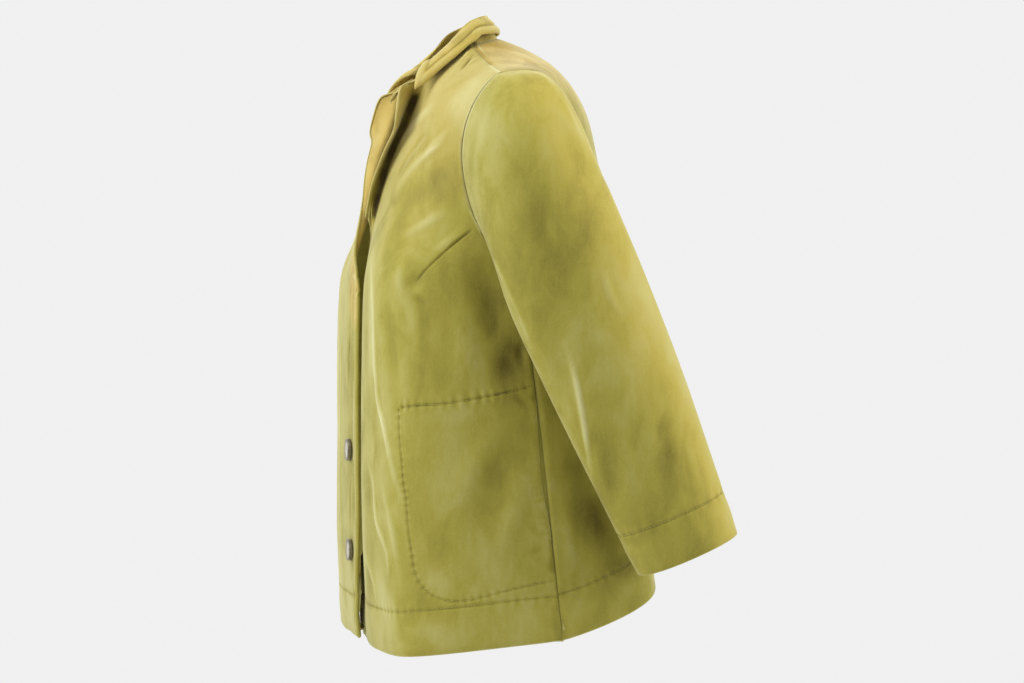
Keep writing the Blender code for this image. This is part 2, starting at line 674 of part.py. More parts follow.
def buttons(right, look):
    """Dished discs lying on the right front at the centre front."""
    surface = dense(right, 8)
    for number, height in enumerate(BUTTON_HEIGHTS):
        name = f"button_{number + 1}"
        bm = bmesh.new()
        verts = [
            bm.verts.new((step["out"] * BUTTON_RADIUS, 0.0, step["up"] * BUTTON_THICK))
            for step in BUTTON_PROFILE
        ]
        edges = [bm.edges.new(pair) for pair in zip(verts, verts[1:])]
        bmesh.ops.spin(
            bm, geom=verts + edges, cent=(0, 0, 0), axis=(0, 0, 1), angle=2 * math.pi, steps=BUTTON_STEPS
        )
        bmesh.ops.remove_doubles(bm, verts=bm.verts, dist=1e-6)
        bmesh.ops.recalc_face_normals(bm, faces=bm.faces)
        mesh = bpy.data.meshes.new(name)
        bm.to_mesh(mesh)
        bm.free()
        mesh.materials.append(look)
        mesh.shade_smooth()
        mesh.set_sharp_from_angle(angle=SHARP)
        obj = bpy.data.objects.new(name, mesh)
        bpy.context.scene.collection.objects.link(obj)
        obj.location = (0.0, front_depth(surface, 0.0, height) - BUTTON_GAP, height)
        obj.rotation_euler = (math.pi / 2, 0.0, 0.0)


def main():
    clear_scene()
    velvet = material("velvet", (0.45, 0.41, 0.09), 0.6)
    horn = material("horn", (0.36, 0.31, 0.24), 0.35)
    left, right = fronts(velvet)
    behind = back(velvet)
    sleeves(velvet)
    collar(left, right, behind, velvet)
    pocket_strips(velvet)
    buttons(right, horn)


main()
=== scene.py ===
"""Velvet jacket: thin velvet shells with turned edges, creases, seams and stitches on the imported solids.

Metres, +Z up, +X the wearer's left, -Y the front. Creases that the photograph shows are written in its
pixels and cast onto the cloth from the photograph's camera; the others are written in metres.
"""

import math

import bmesh
import bpy
import numpy as np
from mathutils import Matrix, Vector
from mathutils.bvhtree import BVHTree


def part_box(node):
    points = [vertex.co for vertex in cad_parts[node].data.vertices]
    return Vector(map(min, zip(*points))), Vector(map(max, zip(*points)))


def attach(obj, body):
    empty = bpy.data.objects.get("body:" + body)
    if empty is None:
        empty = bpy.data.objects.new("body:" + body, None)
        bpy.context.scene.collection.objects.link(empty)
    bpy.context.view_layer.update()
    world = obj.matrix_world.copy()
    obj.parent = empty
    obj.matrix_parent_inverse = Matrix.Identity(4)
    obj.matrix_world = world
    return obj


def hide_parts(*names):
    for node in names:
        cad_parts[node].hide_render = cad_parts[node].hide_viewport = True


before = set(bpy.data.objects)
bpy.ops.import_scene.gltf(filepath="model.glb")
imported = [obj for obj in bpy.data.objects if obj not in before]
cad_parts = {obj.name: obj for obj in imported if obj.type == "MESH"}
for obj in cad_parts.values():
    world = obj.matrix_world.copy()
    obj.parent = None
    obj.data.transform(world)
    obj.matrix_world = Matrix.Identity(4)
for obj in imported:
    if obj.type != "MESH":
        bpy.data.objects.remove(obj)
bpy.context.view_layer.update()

# The photograph's camera
EYE_TURN = math.radians(77)
EYE_FAR = 2.5
EYE_SIDE = Vector((math.cos(EYE_TURN), math.sin(EYE_TURN), 0.0))
EYE_AWAY = Vector((-math.sin(EYE_TURN), math.cos(EYE_TURN), 0.0))
EYE_ASIDE = 0.0547
EYE_AIM = Vector((math.cos(EYE_TURN) * EYE_ASIDE, math.sin(EYE_TURN) * EYE_ASIDE, -0.290))
PIXEL = 0.001  # metres on the plane through the aim
PHOTO_WIDE = 1024
MIDDLE = (512.0, 341.0)
SENSOR = 36.0
PHOTO_STEP = 3.0  # pixels between the points of a drawn line
SPACE_STEP = 0.004  # the same in metres, for lines that are written in metres

# Cloth
CLOTH = 0.0016
COLLAR_CLOTH = 0.0022
STRIP_CLOTH = 0.0008
FOLDED = 0.0036  # over a turned edge
LAPEL_FOLDED = 0.0026
SUBDIVISIONS = 2
TALL = 0.030  # edges of the solid longer than this are halved first
SEAM_FADE = 0.010  # creases die out this near a seam

# Sections of a panel's edges. out: away from the panel, back: behind its face, shares of the sizes below.
TURNED = (
    dict(out=0.30, back=0.12),
    dict(out=0.42, back=0.50),
    dict(out=0.30, back=0.88),
    dict(out=0.0, back=1.0),
)
HEM_DEEP = 0.038
FACING_DEEP = 0.010
EDGE_SMOOTH = 2  # rounds of smoothing along an edge
SHORTEST_RUN = 3  # stretches of an edge with no more vertices are left out

# Where one kind of edge ends and the next begins
HEM_TOP = -0.49
LEVEL = 0.55  # a hem runs flatter than this share of z
SIDE_OUT = 0.15  # a front's edge farther out than this is its side or its armhole
SHOULDER_LOW = -0.045
SHOULDER_NEAR = 0.004
CUFF_TOP = -0.45
COLLAR_NECK = dict(across=0.0625, deep=0.036, middle=0.003, reach=1.03, front=-0.024)
SLIT = (-0.470, -0.345)
UNDERARM = -0.235
LAPEL_LOW = -0.245

# Each finish of an edge: how deep its cloth lies behind and how thick its roll is.
FINISHES = {
    "hem": dict(deep=HEM_DEEP, thick=FOLDED),
    "edge": dict(deep=FACING_DEEP, thick=0.0030),
    "slit": dict(deep=0.012, thick=0.0026),
    "lapel": dict(deep=0.0006, thick=LAPEL_FOLDED),
    "rolled": dict(deep=0.0006, thick=0.0030),
    "neck": dict(deep=0.0034, thick=0.0022),
    "covering": dict(deep=0.0010, thick=0.0),
    "armhole": dict(deep=0.0010, thick=0.0),
    "tucked": dict(deep=0.0060, thick=0.0022),
    "set_in": dict(deep=0.0060, thick=0.0022),
}

# How finely the cloth is divided
BROAD = 0.0135  # creases broader than this need no smaller faces
NARROW = 0.0030
FINE_REACH = 0.0048  # this near a stitched line the faces are smallest
CREASE_MARGIN = 0.004
GOLDEN_REACH = 0.040  # the painted golden light on the lapel fades out this far from its edge
TURNED_PAINTED_LIGHT = 0.45  # turned-back cloth gets a painted highlight

# Raised stitches
THREADED = ("pocket_top", "pocket_bag")
STITCHED = ("hem_stitch", "edge_stitch")
STITCH_PITCH = 0.0036
STITCH_LONG = 0.0022
STITCH_THICK = 0.00024
STITCH_NEAR = 0.006  # a stitch farther from the cloth than this is left out

# Buttons
BUTTONS = ("button_1", "button_2")
RIM_IN = 0.0030
DISH_DEEP = 0.0011
HOLE_RADIUS = 0.0010
HOLE_ASIDE = 0.0019

# Creases on the wearer's left front: path in photo pixels, half width and height in metres, painted light on
# the pile (a highlight above 0, shade below 0), and puckers across the line: their height, spacing and reach.
LEFT_FRONT = (
    dict(name="dart", path=((476, 226), (458, 240), (446, 250), (430, 265), (413, 283)), wide=0.0020,
         high=-0.0011, painted_light=-0.60, taper=0.014),
    dict(name="dart_lip", path=((472, 222), (455, 236), (440, 248), (424, 263)), wide=0.0070, high=0.0009,
         painted_light=0.22),
    dict(name="dimple", path=((424, 272), (414, 282), (405, 290)), wide=0.0110, high=-0.0020, painted_light=-0.25),
    dict(name="dimple_rim", path=((405, 262), (400, 275), (402, 292)), wide=0.0080, high=0.0012, painted_light=0.40),
    dict(name="dimple_low", path=((412, 290), (420, 300), (432, 304)), wide=0.0060, high=-0.0010,
         painted_light=-0.30),
    dict(name="pocket_top", path=((398, 407), (419, 405), (446, 403), (481, 397), (515, 390), (536, 384)),
         wide=0.0019, high=-0.0010, painted_light=-0.42, pucker=0.0006, pitch=0.0092, reach=0.0095, taper=0.002),
    dict(name="pocket_bag", path=((398, 407), (399, 437), (401.5, 460), (403, 479), (406, 499), (408, 527),
                                  (412, 554), (416, 575), (426, 590), (439, 598), (458, 601), (481, 597),
                                  (504, 591), (527, 585.5), (554, 580)), wide=0.0017, high=-0.0008,
         painted_light=-0.32, pucker=0.00022, pitch=0.0075, reach=0.006, taper=0.002),
    dict(name="front_ridge",
         path=((371, 250), (373.6, 315), (377, 391), (384, 426), (393.5, 472), (405, 509), (411, 536)),
         wide=0.0055, high=0.0020, painted_light=1.20),
    dict(name="front_hollow", path=((386, 262), (390, 330), (396, 395), (406, 450)), wide=0.0140,
         high=-0.0022, painted_light=-0.18),
    dict(name="low_ridge", path=((365, 453), (373, 481), (377, 522), (387, 554), (389, 596)), wide=0.0045,
         high=0.0016, painted_light=1.10),
    dict(name="low_ridge_2", path=((379, 470), (388, 510), (395, 545), (402, 590)), wide=0.0060,
         high=0.0012, painted_light=0.45),
    dict(name="hem_ridge", path=((363.6, 554), (373, 577), (378.5, 612)), wide=0.0050, high=0.0012,
         painted_light=0.5),
    dict(name="bust_fold", path=((389, 262), (400, 288), (416, 319), (428, 365)), wide=0.0120, high=0.0018,
         painted_light=0.22),
    dict(name="chest_streak_1", path=((462, 118), (430, 150), (404, 178), (392, 196)), wide=0.0085,
         high=0.0011, painted_light=0.55),
    dict(name="chest_streak_2", path=((446, 96), (416, 122), (398, 148), (380, 182)), wide=0.0095,
         high=0.0012, painted_light=0.60),
    dict(name="chest_streak_3", path=((452, 206), (424, 224), (396, 238)), wide=0.0080, high=0.0010,
         painted_light=0.45),
    dict(name="chest_streak_4", path=((446, 140), (430, 152), (414, 166)), wide=0.0035, high=0.0008,
         painted_light=0.60),
    dict(name="chest_hollow", path=((462, 150), (430, 183), (398, 214)), wide=0.0170, high=-0.0022,
         painted_light=-0.26),
    dict(name="chest_hollow_2", path=((440, 118), (412, 150), (390, 190)), wide=0.0090, high=-0.0012,
         painted_light=-0.15),
    dict(name="underarm_hollow", path=((474, 236), (484, 285), (494, 335), (500, 372)), wide=0.0200,
         high=-0.0034, painted_light=-0.55),
    dict(name="underarm_hollow_2", path=((530, 310), (518, 336), (503, 366), (490, 392)), wide=0.0190,
         high=-0.0026, painted_light=-0.60),
    dict(name="underarm_ridge", path=((456, 292), (466, 340), (468, 392)), wide=0.0150, high=0.0018,
         painted_light=0.15),
    dict(name="underarm_edge", path=((524, 330), (520, 352), (526, 378)), wide=0.0055, high=-0.0014,
         painted_light=-0.55),
    dict(name="pocket_hollow", path=((528, 425), (500, 470), (482, 532), (476, 560)), wide=0.0210,
         high=-0.0024, painted_light=-0.32),
    dict(name="pocket_ridge", path=((508, 418), (474, 466), (450, 525)), wide=0.0170, high=0.0020,
         painted_light=0.20),
    dict(name="pocket_ridge_2", path=((536, 470), (514, 520), (502, 566)), wide=0.0120, high=0.0014,
         painted_light=0.22),
    dict(name="slit_crease_1", path=((505, 390), (518, 400), (530, 412)), wide=0.0050, high=0.0008,
         painted_light=-0.35),
    dict(name="slit_crease_2", path=((522, 520), (534, 530), (546, 541)), wide=0.0045, high=0.0006,
         painted_light=-0.30),
    dict(name="slit_crease_3", path=((526, 556), (536, 550), (548, 545)), wide=0.0040, high=-0.0006,
         painted_light=-0.25),
    dict(name="neck_tuck", path=((472, 44), (465.5, 55), (453, 69)), wide=0.0042, high=0.0016, painted_light=0.60),
    dict(name="neck_valley", path=((474, 52), (466, 63), (457, 74)), wide=0.0036, high=-0.0018, painted_light=-0.70),
    dict(name="neck_tuck_2", path=((481, 53.5), (473, 60), (464, 69)), wide=0.0042, high=0.0012, painted_light=0.55),
    # Painted light alone, with no height: painted highlights and painted shade over broad patches
    dict(name="shoulder_pale", path=((490, 66), (470, 92), (446, 130)), wide=0.0360, high=0.0, painted_light=0.80),
    dict(name="edge_pale", path=((372, 240), (371, 300), (372, 372), (378, 430)), wide=0.0170, high=0.0,
         painted_light=0.60),
    dict(name="chest_olive", path=((452, 168), (440, 190), (452, 214)), wide=0.0260, high=0.0, painted_light=-0.30),
    dict(name="middle_green", path=((430, 330), (440, 365), (470, 385)), wide=0.0300, high=0.0, painted_light=-0.16),
    dict(name="hem_pale", path=((372, 560), (384, 600), (400, 640)), wide=0.0260, high=0.0, painted_light=0.62),
    dict(name="hem_green", path=((392, 560), (410, 610), (450, 640), (500, 640)), wide=0.0180, high=0.0,
         painted_light=0.25),
    dict(name="pocket_pale", path=((424, 560), (440, 582), (466, 592)), wide=0.0200, high=0.0, painted_light=0.60),
    dict(name="pocket_top_pale", path=((408, 420), (440, 416), (486, 412)), wide=0.0120, high=0.0,
         painted_light=0.18),
    dict(name="lapel_shade",
         path=((420, 88), (410, 110), (402, 130), (394, 148), (386, 168), (378, 200), (371, 226)),
         wide=0.0090, high=0.0, painted_light=-1.30, taper=0.010),
    dict(name="neck_shade", path=((450, 62), (436, 74), (424, 84)), wide=0.0060, high=0.0, painted_light=-0.60),
)

# The left front where the right one covers it, in metres seen from the front (x, z).
# Its first row is painted shade under the overlap
UNDERLAP = (
    dict(name="underlap_shade", path=((-0.012, -0.250), (-0.012, -0.420), (-0.012, -0.581)), wide=0.0240,
         high=0.0, painted_light=-1.30, taper=0.010),
    dict(name="underlap_lift", path=((-0.015, -0.500), (-0.015, -0.540), (-0.015, -0.5815)), wide=0.0160,
         high=0.0028, painted_light=-0.30, taper=0.004),
)

# The strip of the right front that the photograph shows
# Its rows paint highlights on the edge's ridges and face, and shade in its hollows
RIGHT_FRONT_SEEN = (
    dict(name="edge_ridge", path=((347, 262), (342.5, 300), (341, 380), (340, 470), (342, 560), (346, 600)),
         wide=0.0040, high=0.0013, painted_light=1.00),
    dict(name="edge_ridge_2", path=((356, 270), (354, 340), (353, 420)), wide=0.0032, high=0.0009,
         painted_light=1.20),
    dict(name="edge_hollow", path=((352, 262), (350, 330), (348, 400), (348, 440)), wide=0.0040,
         high=-0.0010, painted_light=-0.25),
    dict(name="edge_low", path=((352, 456), (350, 500), (351, 540)), wide=0.0045, high=-0.0008, painted_light=-0.30),
    dict(name="face_pale", path=((340, 290), (337, 380), (337, 470), (340, 560)), wide=0.0110, high=0.0,
         painted_light=0.80),
)

# The near sleeve: painted highlights on its ridges, painted shade in its hollows, and broad painted patches
LEFT_SLEEVE = (
    dict(name="elbow_ridge", path=((566, 340), (576, 382), (580, 402), (586.5, 439), (592, 480)),
         wide=0.0048, high=0.0018, painted_light=1.10),
    dict(name="elbow_hollow", path=((546, 250), (554, 320), (564, 378), (572, 430), (584, 478)),
         wide=0.0230, high=-0.0026, painted_light=-0.22),
    dict(name="elbow_grey", path=((556, 262), (560, 330), (566, 400), (576, 450)), wide=0.0240, high=0.0,
         painted_light=0.30),
    dict(name="elbow_mark", path=((600, 262), (612, 300), (624, 318)), wide=0.0060, high=0.0010, painted_light=0.35),
    dict(name="cuff_fold_1", path=((618, 420), (632, 486), (644, 530)), wide=0.0110, high=0.0016, painted_light=0.26),
    dict(name="cuff_fold_2", path=((658, 400), (667, 452), (678, 500)), wide=0.0120, high=-0.0014,
         painted_light=-0.22),
    dict(name="cuff_fold_3", path=((596, 420), (610, 476), (622, 520)), wide=0.0100, high=-0.0018,
         painted_light=-0.20),
    dict(name="cuff_fold_4", path=((684, 430), (694, 470), (702, 505)), wide=0.0080, high=0.0010, painted_light=0.25),
    dict(name="front_pinch", path=((492, 254), (500, 272), (510, 292)), wide=0.0045, high=0.0010, painted_light=0.55),
    dict(name="front_edge_pale", path=((468, 205), (484, 252), (510, 296), (536, 360)), wide=0.0050,
         high=0.0, painted_light=0.45),
    dict(name="cap_light", path=((512, 72), (490, 104), (478, 160), (478, 200)), wide=0.0130, high=0.0008,
         painted_light=0.18),
    dict(name="cap_top_pale", path=((500, 72), (520, 69), (545, 76), (562, 96)), wide=0.0050, high=0.0004,
         painted_light=0.55),
    dict(name="cap_back_light", path=((560, 92), (574, 120), (588, 152)), wide=0.0050, high=0.0010,
         painted_light=0.60),
    dict(name="cap_back_hollow", path=((552, 104), (572, 150), (592, 200)), wide=0.0140, high=-0.0018,
         painted_light=-0.20),
    dict(name="back_pale", path=((606, 200), (650, 300), (690, 400), (718, 486)), wide=0.0140, high=0.0,
         painted_light=0.30),
    dict(name="middle_hollow", path=((516, 130), (530, 210), (542, 270)), wide=0.0300, high=-0.0016,
         painted_light=-0.06),
    dict(name="back_gold", path=((586, 170), (630, 270), (668, 370), (690, 450)), wide=0.0300, high=0.0,
         painted_light=0.16),
    dict(name="front_olive", path=((480, 190), (500, 250), (530, 320)), wide=0.0200, high=0.0, painted_light=-0.14),
)

# The near back: painted shade under the sleeve and cuff and on the shoulder, painted highlights on its ridges
LEFT_BACK_SEEN = (
    dict(name="side_hollow", path=((572, 430), (582, 490), (590, 560)), wide=0.0210, high=-0.0024,
         painted_light=-0.80),
    dict(name="under_cuff", path=((592, 480), (604, 530), (614, 580)), wide=0.0160, high=0.0, painted_light=-0.90),
    dict(name="under_cuff_low", path=((612, 552), (624, 572), (634, 584)), wide=0.0180, high=0.0,
         painted_light=-0.50),
    dict(name="side_ridge", path=((562, 470), (568, 530), (576, 600)), wide=0.0090, high=0.0012, painted_light=0.15),
    dict(name="hem_side_fold", path=((604, 510), (614, 560), (622, 592)), wide=0.0150, high=0.0020,
         painted_light=0.22),
    dict(name="shoulder_fold", path=((506, 48), (524, 56), (548, 70)), wide=0.0080, high=0.0010, painted_light=0.25),
    dict(name="shoulder_brown", path=((496, 46), (518, 62), (540, 84)), wide=0.0300, high=0.0, painted_light=-0.34),
    dict(name="shoulder_rim", path=((536, 62), (560, 80), (578, 106)), wide=0.0060, high=0.0006, painted_light=0.35),
)

# The collar: painted shade along its seam line and a painted highlight on its roll
COLLAR_SEEN = (
    dict(name="collar_line", path=((486, 31), (470, 38), (455, 50), (440, 60)), wide=0.0040, high=-0.0008,
         painted_light=-0.20),
    dict(name="collar_light", path=((476, 21), (462, 32), (448, 42)), wide=0.0060, high=0.0005, painted_light=0.30),
)

# Folds that the photograph doesn't show, in metres seen from behind (x, z).
# Each fold has painted light: highlights on ridges, shade in hollows
BACK_FOLDS = (
    dict(name="blade_left", path=((0.105, -0.150), (0.092, -0.260), (0.098, -0.400), (0.110, -0.520)),
         wide=0.0200, high=0.0034, painted_light=0.30),
    dict(name="blade_right", path=((-0.112, -0.170), (-0.100, -0.300), (-0.094, -0.430), (-0.108, -0.535)),
         wide=0.0220, high=0.0030, painted_light=0.25),
    dict(name="middle", path=((0.012, -0.250), (0.004, -0.360), (-0.010, -0.515)), wide=0.0240,
         high=-0.0032, painted_light=-0.30),
    dict(name="left_hollow", path=((0.062, -0.220), (0.056, -0.350), (0.066, -0.500)), wide=0.0160,
         high=-0.0026, painted_light=-0.30),
    dict(name="right_hollow", path=((-0.058, -0.300), (-0.060, -0.420), (-0.050, -0.518)), wide=0.0150,
         high=-0.0024, painted_light=-0.25),
    dict(name="armhole_drag_left", path=((0.160, -0.150), (0.130, -0.190), (0.105, -0.250)), wide=0.0110,
         high=0.0020, painted_light=0.30),
    dict(name="armhole_drag_right", path=((-0.158, -0.160), (-0.128, -0.205), (-0.110, -0.270)),
         wide=0.0110, high=0.0018, painted_light=0.30),
    dict(name="neck_drag", path=((0.060, -0.030), (0.020, -0.050), (-0.030, -0.046)), wide=0.0110,
         high=-0.0014, painted_light=-0.20),
    dict(name="waist_drag", path=((-0.080, -0.330), (-0.040, -0.345), (-0.006, -0.338)), wide=0.0090,
         high=0.0014, painted_light=0.20),
)

# Rows that follow the edges: their distance from the edge and what a crease's row has, its painted light
# included.
EDGE_ROWS = (
    dict(name="hem_stitch", kind="hem", off=0.0400, wide=0.0018, high=-0.0009, painted_light=-0.30, pucker=0.00030,
         pitch=0.0110, reach=0.008),
    dict(name="hem_swell", kind="hem", off=0.0200, wide=0.0160, high=0.0006, painted_light=0.05),
    dict(name="edge_stitch", kind="edge", off=0.0075, wide=0.0016, high=-0.0006, painted_light=-0.25, pucker=0.00010,
         pitch=0.0050, reach=0.0035),
    dict(name="edge_roll", kind="edge", off=0.0030, wide=0.0030, high=0.0005, painted_light=0.45),
    dict(name="lapel_edge", kind="lapel", off=0.0, wide=0.0030, high=0.0, painted_light=0.35),
    dict(name="collar_edge", kind="rolled", off=0.0035, wide=0.0050, high=0.0014, painted_light=0.45),
    dict(name="collar_groove", kind="rolled", off=0.0095, wide=0.0026, high=-0.0007, painted_light=-0.40),
    dict(name="seam_line", kind="armhole", off=0.0, wide=0.0036, high=-0.0003, painted_light=0.90),
    dict(name="sleeve_line", kind="set_in", off=0.0, wide=0.0040, high=-0.0002, painted_light=1.10),
    dict(name="seam_pull", kind="set_in", off=0.0070, wide=0.0060, high=0.0004, painted_light=0.10, pucker=0.00026,
         pitch=0.0130, reach=0.0100),
    dict(name="side_line", kind="tucked", off=0.0, wide=0.0026, high=-0.0004, painted_light=-0.30),
    dict(name="side_line_back", kind="covering", off=0.0, wide=0.0026, high=-0.0004, painted_light=-0.20),
    dict(name="slit_pull", kind="slit", off=0.0040, wide=0.0040, high=0.0002, painted_light=0.10, pucker=0.00030,
         pitch=0.0072, reach=0.0090),
)
SEAMS = ("neck", "tucked", "covering", "armhole", "set_in")

# How the wearer's right side differs from the left: its shift, then shares of width, height and painted light.
OTHER_SIDE = dict(shift=(0.0, 0.004, -0.006), wide=1.12, high=0.85, painted_light=0.75)
MIRROR = np.array([-1.0, 1.0, 1.0])

SHEEN = (0.80, 0.78, 0.52)
# Each velvet's pile from pressed and painted shade to brushed pale and painted highlight, its golden cast of
# painted warm light, and where that
# cast lies: shares of y and z and an offset that rise through 0 to 1 across its edge, in metres.
GREEN = dict(deep=(0.050, 0.034, 0.004), mid=(0.365, 0.325, 0.050), light=(0.70, 0.68, 0.36))
VELVETS = {
    "velvet_front": dict(GREEN, gold=(0.54, 0.40, 0.10), where=(-3.0, 3.5, 0.58)),
    "velvet_sleeve": dict(GREEN, gold=(0.50, 0.41, 0.070), where=(20.0, 8.4, 0.95)),
    "velvet_back": dict(GREEN, gold=(0.48, 0.325, 0.060), where=(0.0, 12.0, 1.20)),
    "velvet_collar": dict(GREEN, gold=(0.55, 0.41, 0.09), where=(0.0, 0.0, 0.80)),
}
# Shell: dark and light of its middle and of its rim
PEARL_MIDDLE = ((0.55, 0.50, 0.38), (0.72, 0.70, 0.60))
PEARL_RIM = ((0.10, 0.085, 0.050), (0.30, 0.27, 0.20))
THREAD = ((0.33, 0.30, 0.06), (0.50, 0.46, 0.16))

# The room: the backdrop as seen, the light that it gives, the floor, and lights in the camera's directions
# from the jacket's middle
BACKDROP = 0.875
FILL = dict(colour=(1.0, 0.99, 0.96), strength=0.50)
FLOOR = dict(grey=0.85, low=-1.4, wide=6.0)
LIT_POINT = Vector((0.0, 0.04, -0.27))
LIGHTS = (
    dict(name="front_light", side=-1.7, away=-0.5, up=0.7, size=(1.2, 1.6), power=26.0),
    dict(name="back_light", side=1.9, away=-0.5, up=0.9, size=(1.2, 1.6), power=26.0),
    dict(name="top_light", side=0.0, away=-0.6, up=1.9, size=(1.5, 1.5), power=14.0),
    dict(name="far_light", side=0.0, away=1.9, up=0.8, size=(1.6, 1.2), power=14.0),
)


def select_only(obj):
    for other in list(bpy.context.selected_objects):
        other.select_set(False)
    obj.hide_set(False)
    obj.select_set(True)
    bpy.context.view_layer.objects.active = obj


def apply_modifier(obj, kind, **settings):
    select_only(obj)
    made = obj.modifiers.new(kind.lower(), kind)
    for name, value in settings.items():
        setattr(made, name, value)
    bpy.ops.object.modifier_apply(modifier=made.name)


def choose_faces(obj, chosen):
    """Selects the faces marked true, alone, and enters edit mode."""
    bpy.ops.object.mode_set(mode="EDIT")
    bpy.ops.mesh.select_mode(type="FACE")
    bpy.ops.mesh.select_all(action="DESELECT")
    bpy.ops.object.mode_set(mode="OBJECT")
    for face, wanted in zip(obj.data.polygons, chosen):
        face.select = bool(wanted)
    bpy.ops.object.mode_set(mode="EDIT")


def points_of(mesh):
    found = np.empty(len(mesh.vertices) * 3)
    mesh.vertices.foreach_get("co", found)
    return found.reshape(-1, 3)


def normals_at(mesh):
    found = np.empty(len(mesh.vertices) * 3)
    mesh.vertex_normals.foreach_get("vector", found)
    return found.reshape(-1, 3)


def outer_sheet(node, name, near, facing, corner):
    """The outer face of a solid wall as an open sheet. near and facing pick a face on it; corner ends it."""
    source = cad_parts[node]
    obj = bpy.data.objects.new(name, source.data.copy())
    bpy.context.scene.collection.objects.link(obj)
    obj.data.materials.clear()
    select_only(obj)
    bpy.ops.object.mode_set(mode="EDIT")
    bpy.ops.mesh.select_mode(type="FACE")
    bpy.ops.mesh.select_all(action="SELECT")
    bpy.ops.mesh.remove_doubles(threshold=2e-5)
    bpy.ops.mesh.normals_make_consistent(inside=False)
    bpy.ops.mesh.select_all(action="DESELECT")
    bpy.ops.object.mode_set(mode="OBJECT")
    near, facing = Vector(near), Vector(facing)
    faces = [face for face in obj.data.polygons if face.normal.dot(facing) > 0.5]
    start = min(faces, key=lambda face: (face.center - near).length)
    start.select = True
    obj.data.polygons.active = start.index
    bpy.ops.object.mode_set(mode="EDIT")
    bpy.ops.mesh.faces_select_linked_flat(sharpness=math.radians(corner))
    bpy.ops.mesh.select_all(action="INVERT")
    bpy.ops.mesh.delete(type="FACE")
    bpy.ops.mesh.select_all(action="SELECT")
    bpy.ops.mesh.tris_convert_to_quads(face_threshold=math.radians(60), shape_threshold=math.radians(80))
    bpy.ops.mesh.select_mode(type="EDGE")
    bpy.ops.mesh.select_all(action="DESELECT")
    bpy.ops.object.mode_set(mode="OBJECT")
    verts = obj.data.vertices
    for edge in obj.data.edges:
        a, b = (verts[i].co for i in edge.vertices)
        edge.select = (a - b).length > TALL and abs(a.z - b.z) > 0.6 * (a - b).length
    bpy.ops.object.mode_set(mode="EDIT")
    bpy.ops.mesh.subdivide(number_cuts=1)
    bpy.ops.object.mode_set(mode="OBJECT")
    for layer in ("sharp_edge", "sharp_face"):
        if layer in obj.data.attributes:
            obj.data.attributes.remove(obj.data.attributes[layer])
    return obj


def smooth_path(points, step):
    """A Catmull-Rom curve through the points, sampled about every step."""
    points = np.array(points, float)
    found = []
    for i in range(len(points) - 1):
        a, b = points[i], points[i + 1]
        before = points[i - 1] if i else 2 * a - b
        after = points[i + 2] if i + 2 < len(points) else 2 * b - a
        count = max(1, int(np.linalg.norm(b - a) / step))
        for k in range(count):
            f = k / count
            found.append(
                0.5
                * (2 * a + (b - before) * f + (2 * before - 5 * a + 4 * b - after) * f**2
                   + (3 * (a - b) + after - before) * f**3)
            )
    found.append(points[-1])
    return np.array(found)


def photo_ray(x, y):
    """The ray from the photograph's camera through one of its pixels."""
    start = EYE_AIM - EYE_AWAY * EYE_FAR
    aim = EYE_AIM + EYE_SIDE * (x - MIDDLE[0]) * PIXEL + Vector((0, 0, (MIDDLE[1] - y) * PIXEL))
    return start, (aim - start).normalized()


def back_ray(x, z):
    return Vector((x, 1.0, z)), Vector((0.0, -1.0, 0.0))


def front_ray(x, z):
    return Vector((x, -1.0, z)), Vector((0.0, 1.0, 0.0))


def cast_path(tree, ray, points, step):
    """Where a drawn line falls on a sheet, as points in space."""
    found = []
    for a, b in smooth_path(points, step):
        hit = tree.ray_cast(*ray(a, b))[0]
        if hit is not None:
            found.append(hit)
    return np.array(found)


def along_path(points, path):
    """Each point's distance from a path, and how far along the path it lies."""
    best = np.full(len(points), 1e9)
    place = np.zeros(len(points))
    start = 0.0
    for a, b in zip(path, path[1:]):
        line = b - a
        length = np.linalg.norm(line)
        if length < 1e-9:
            continue
        share = np.clip((points - a) @ line / length**2, 0, 1)
        away = np.linalg.norm(points - a - share[:, None] * line, axis=1)
        nearer = away < best
        best[nearer] = away[nearer]
        place[nearer] = (start + share * length)[nearer]
        start += length
    return best, place, start


def soft(share):
    """1 in the middle of a crease, easing to 0 at its sides."""
    return np.clip(1 - share**2, 0, 1) ** 2


def eased(share):
    share = np.clip(share, 0, 1)
    return share * share * (3 - 2 * share)


def seed_of(row):
    """A number of its own for each row, which sets where its unevenness begins."""
    return sum(ord(letter) for letter in row["name"])


def crease(points, path, row):
    """Height and painted light (a highlight above 0, shade below 0) of one crease at each point: uneven along
    its length, fading at its ends.
    """
    away, place, length = along_path(points, path)
    taper = row.get("taper", 0.45 * length)
    ends = eased(np.minimum(place, length - place) / max(taper, 1e-6))
    seed = seed_of(row)
    wave = max(0.011, 1.2 * row["wide"])
    uneven = 1 + 0.16 * np.sin(place / wave + seed) + 0.08 * np.sin(place / wave * 2.7 + 2.3 * seed)
    shape = soft(away / row["wide"]) * ends * uneven
    height, pile_and_painted_light = row["high"] * shape, row["painted_light"] * shape
    if "pucker" in row:
        wander = 1.4 * np.sin(place / 0.017 + seed) + 0.8 * np.sin(place / 0.0071)
        waves = np.cos(2 * math.pi * place / row["pitch"] + wander)
        strength = soft(away / row["reach"]) * (0.65 + 0.35 * np.sin(place / 0.0123 + 1.7)) * ends
        height += row["pucker"] * waves * strength
        pile_and_painted_light += 0.25 * waves * strength
    return height, pile_and_painted_light


def mirrored(path, row):
    """A left-hand crease set a little differently on the wearer's right."""
    shares = {column: row[column] * OTHER_SIDE[column] for column in ("wide", "high", "painted_light")}
    moved = path * MIRROR + np.array(OTHER_SIDE["shift"])
    return moved, dict(row, **shares, name=row["name"] + "_other")


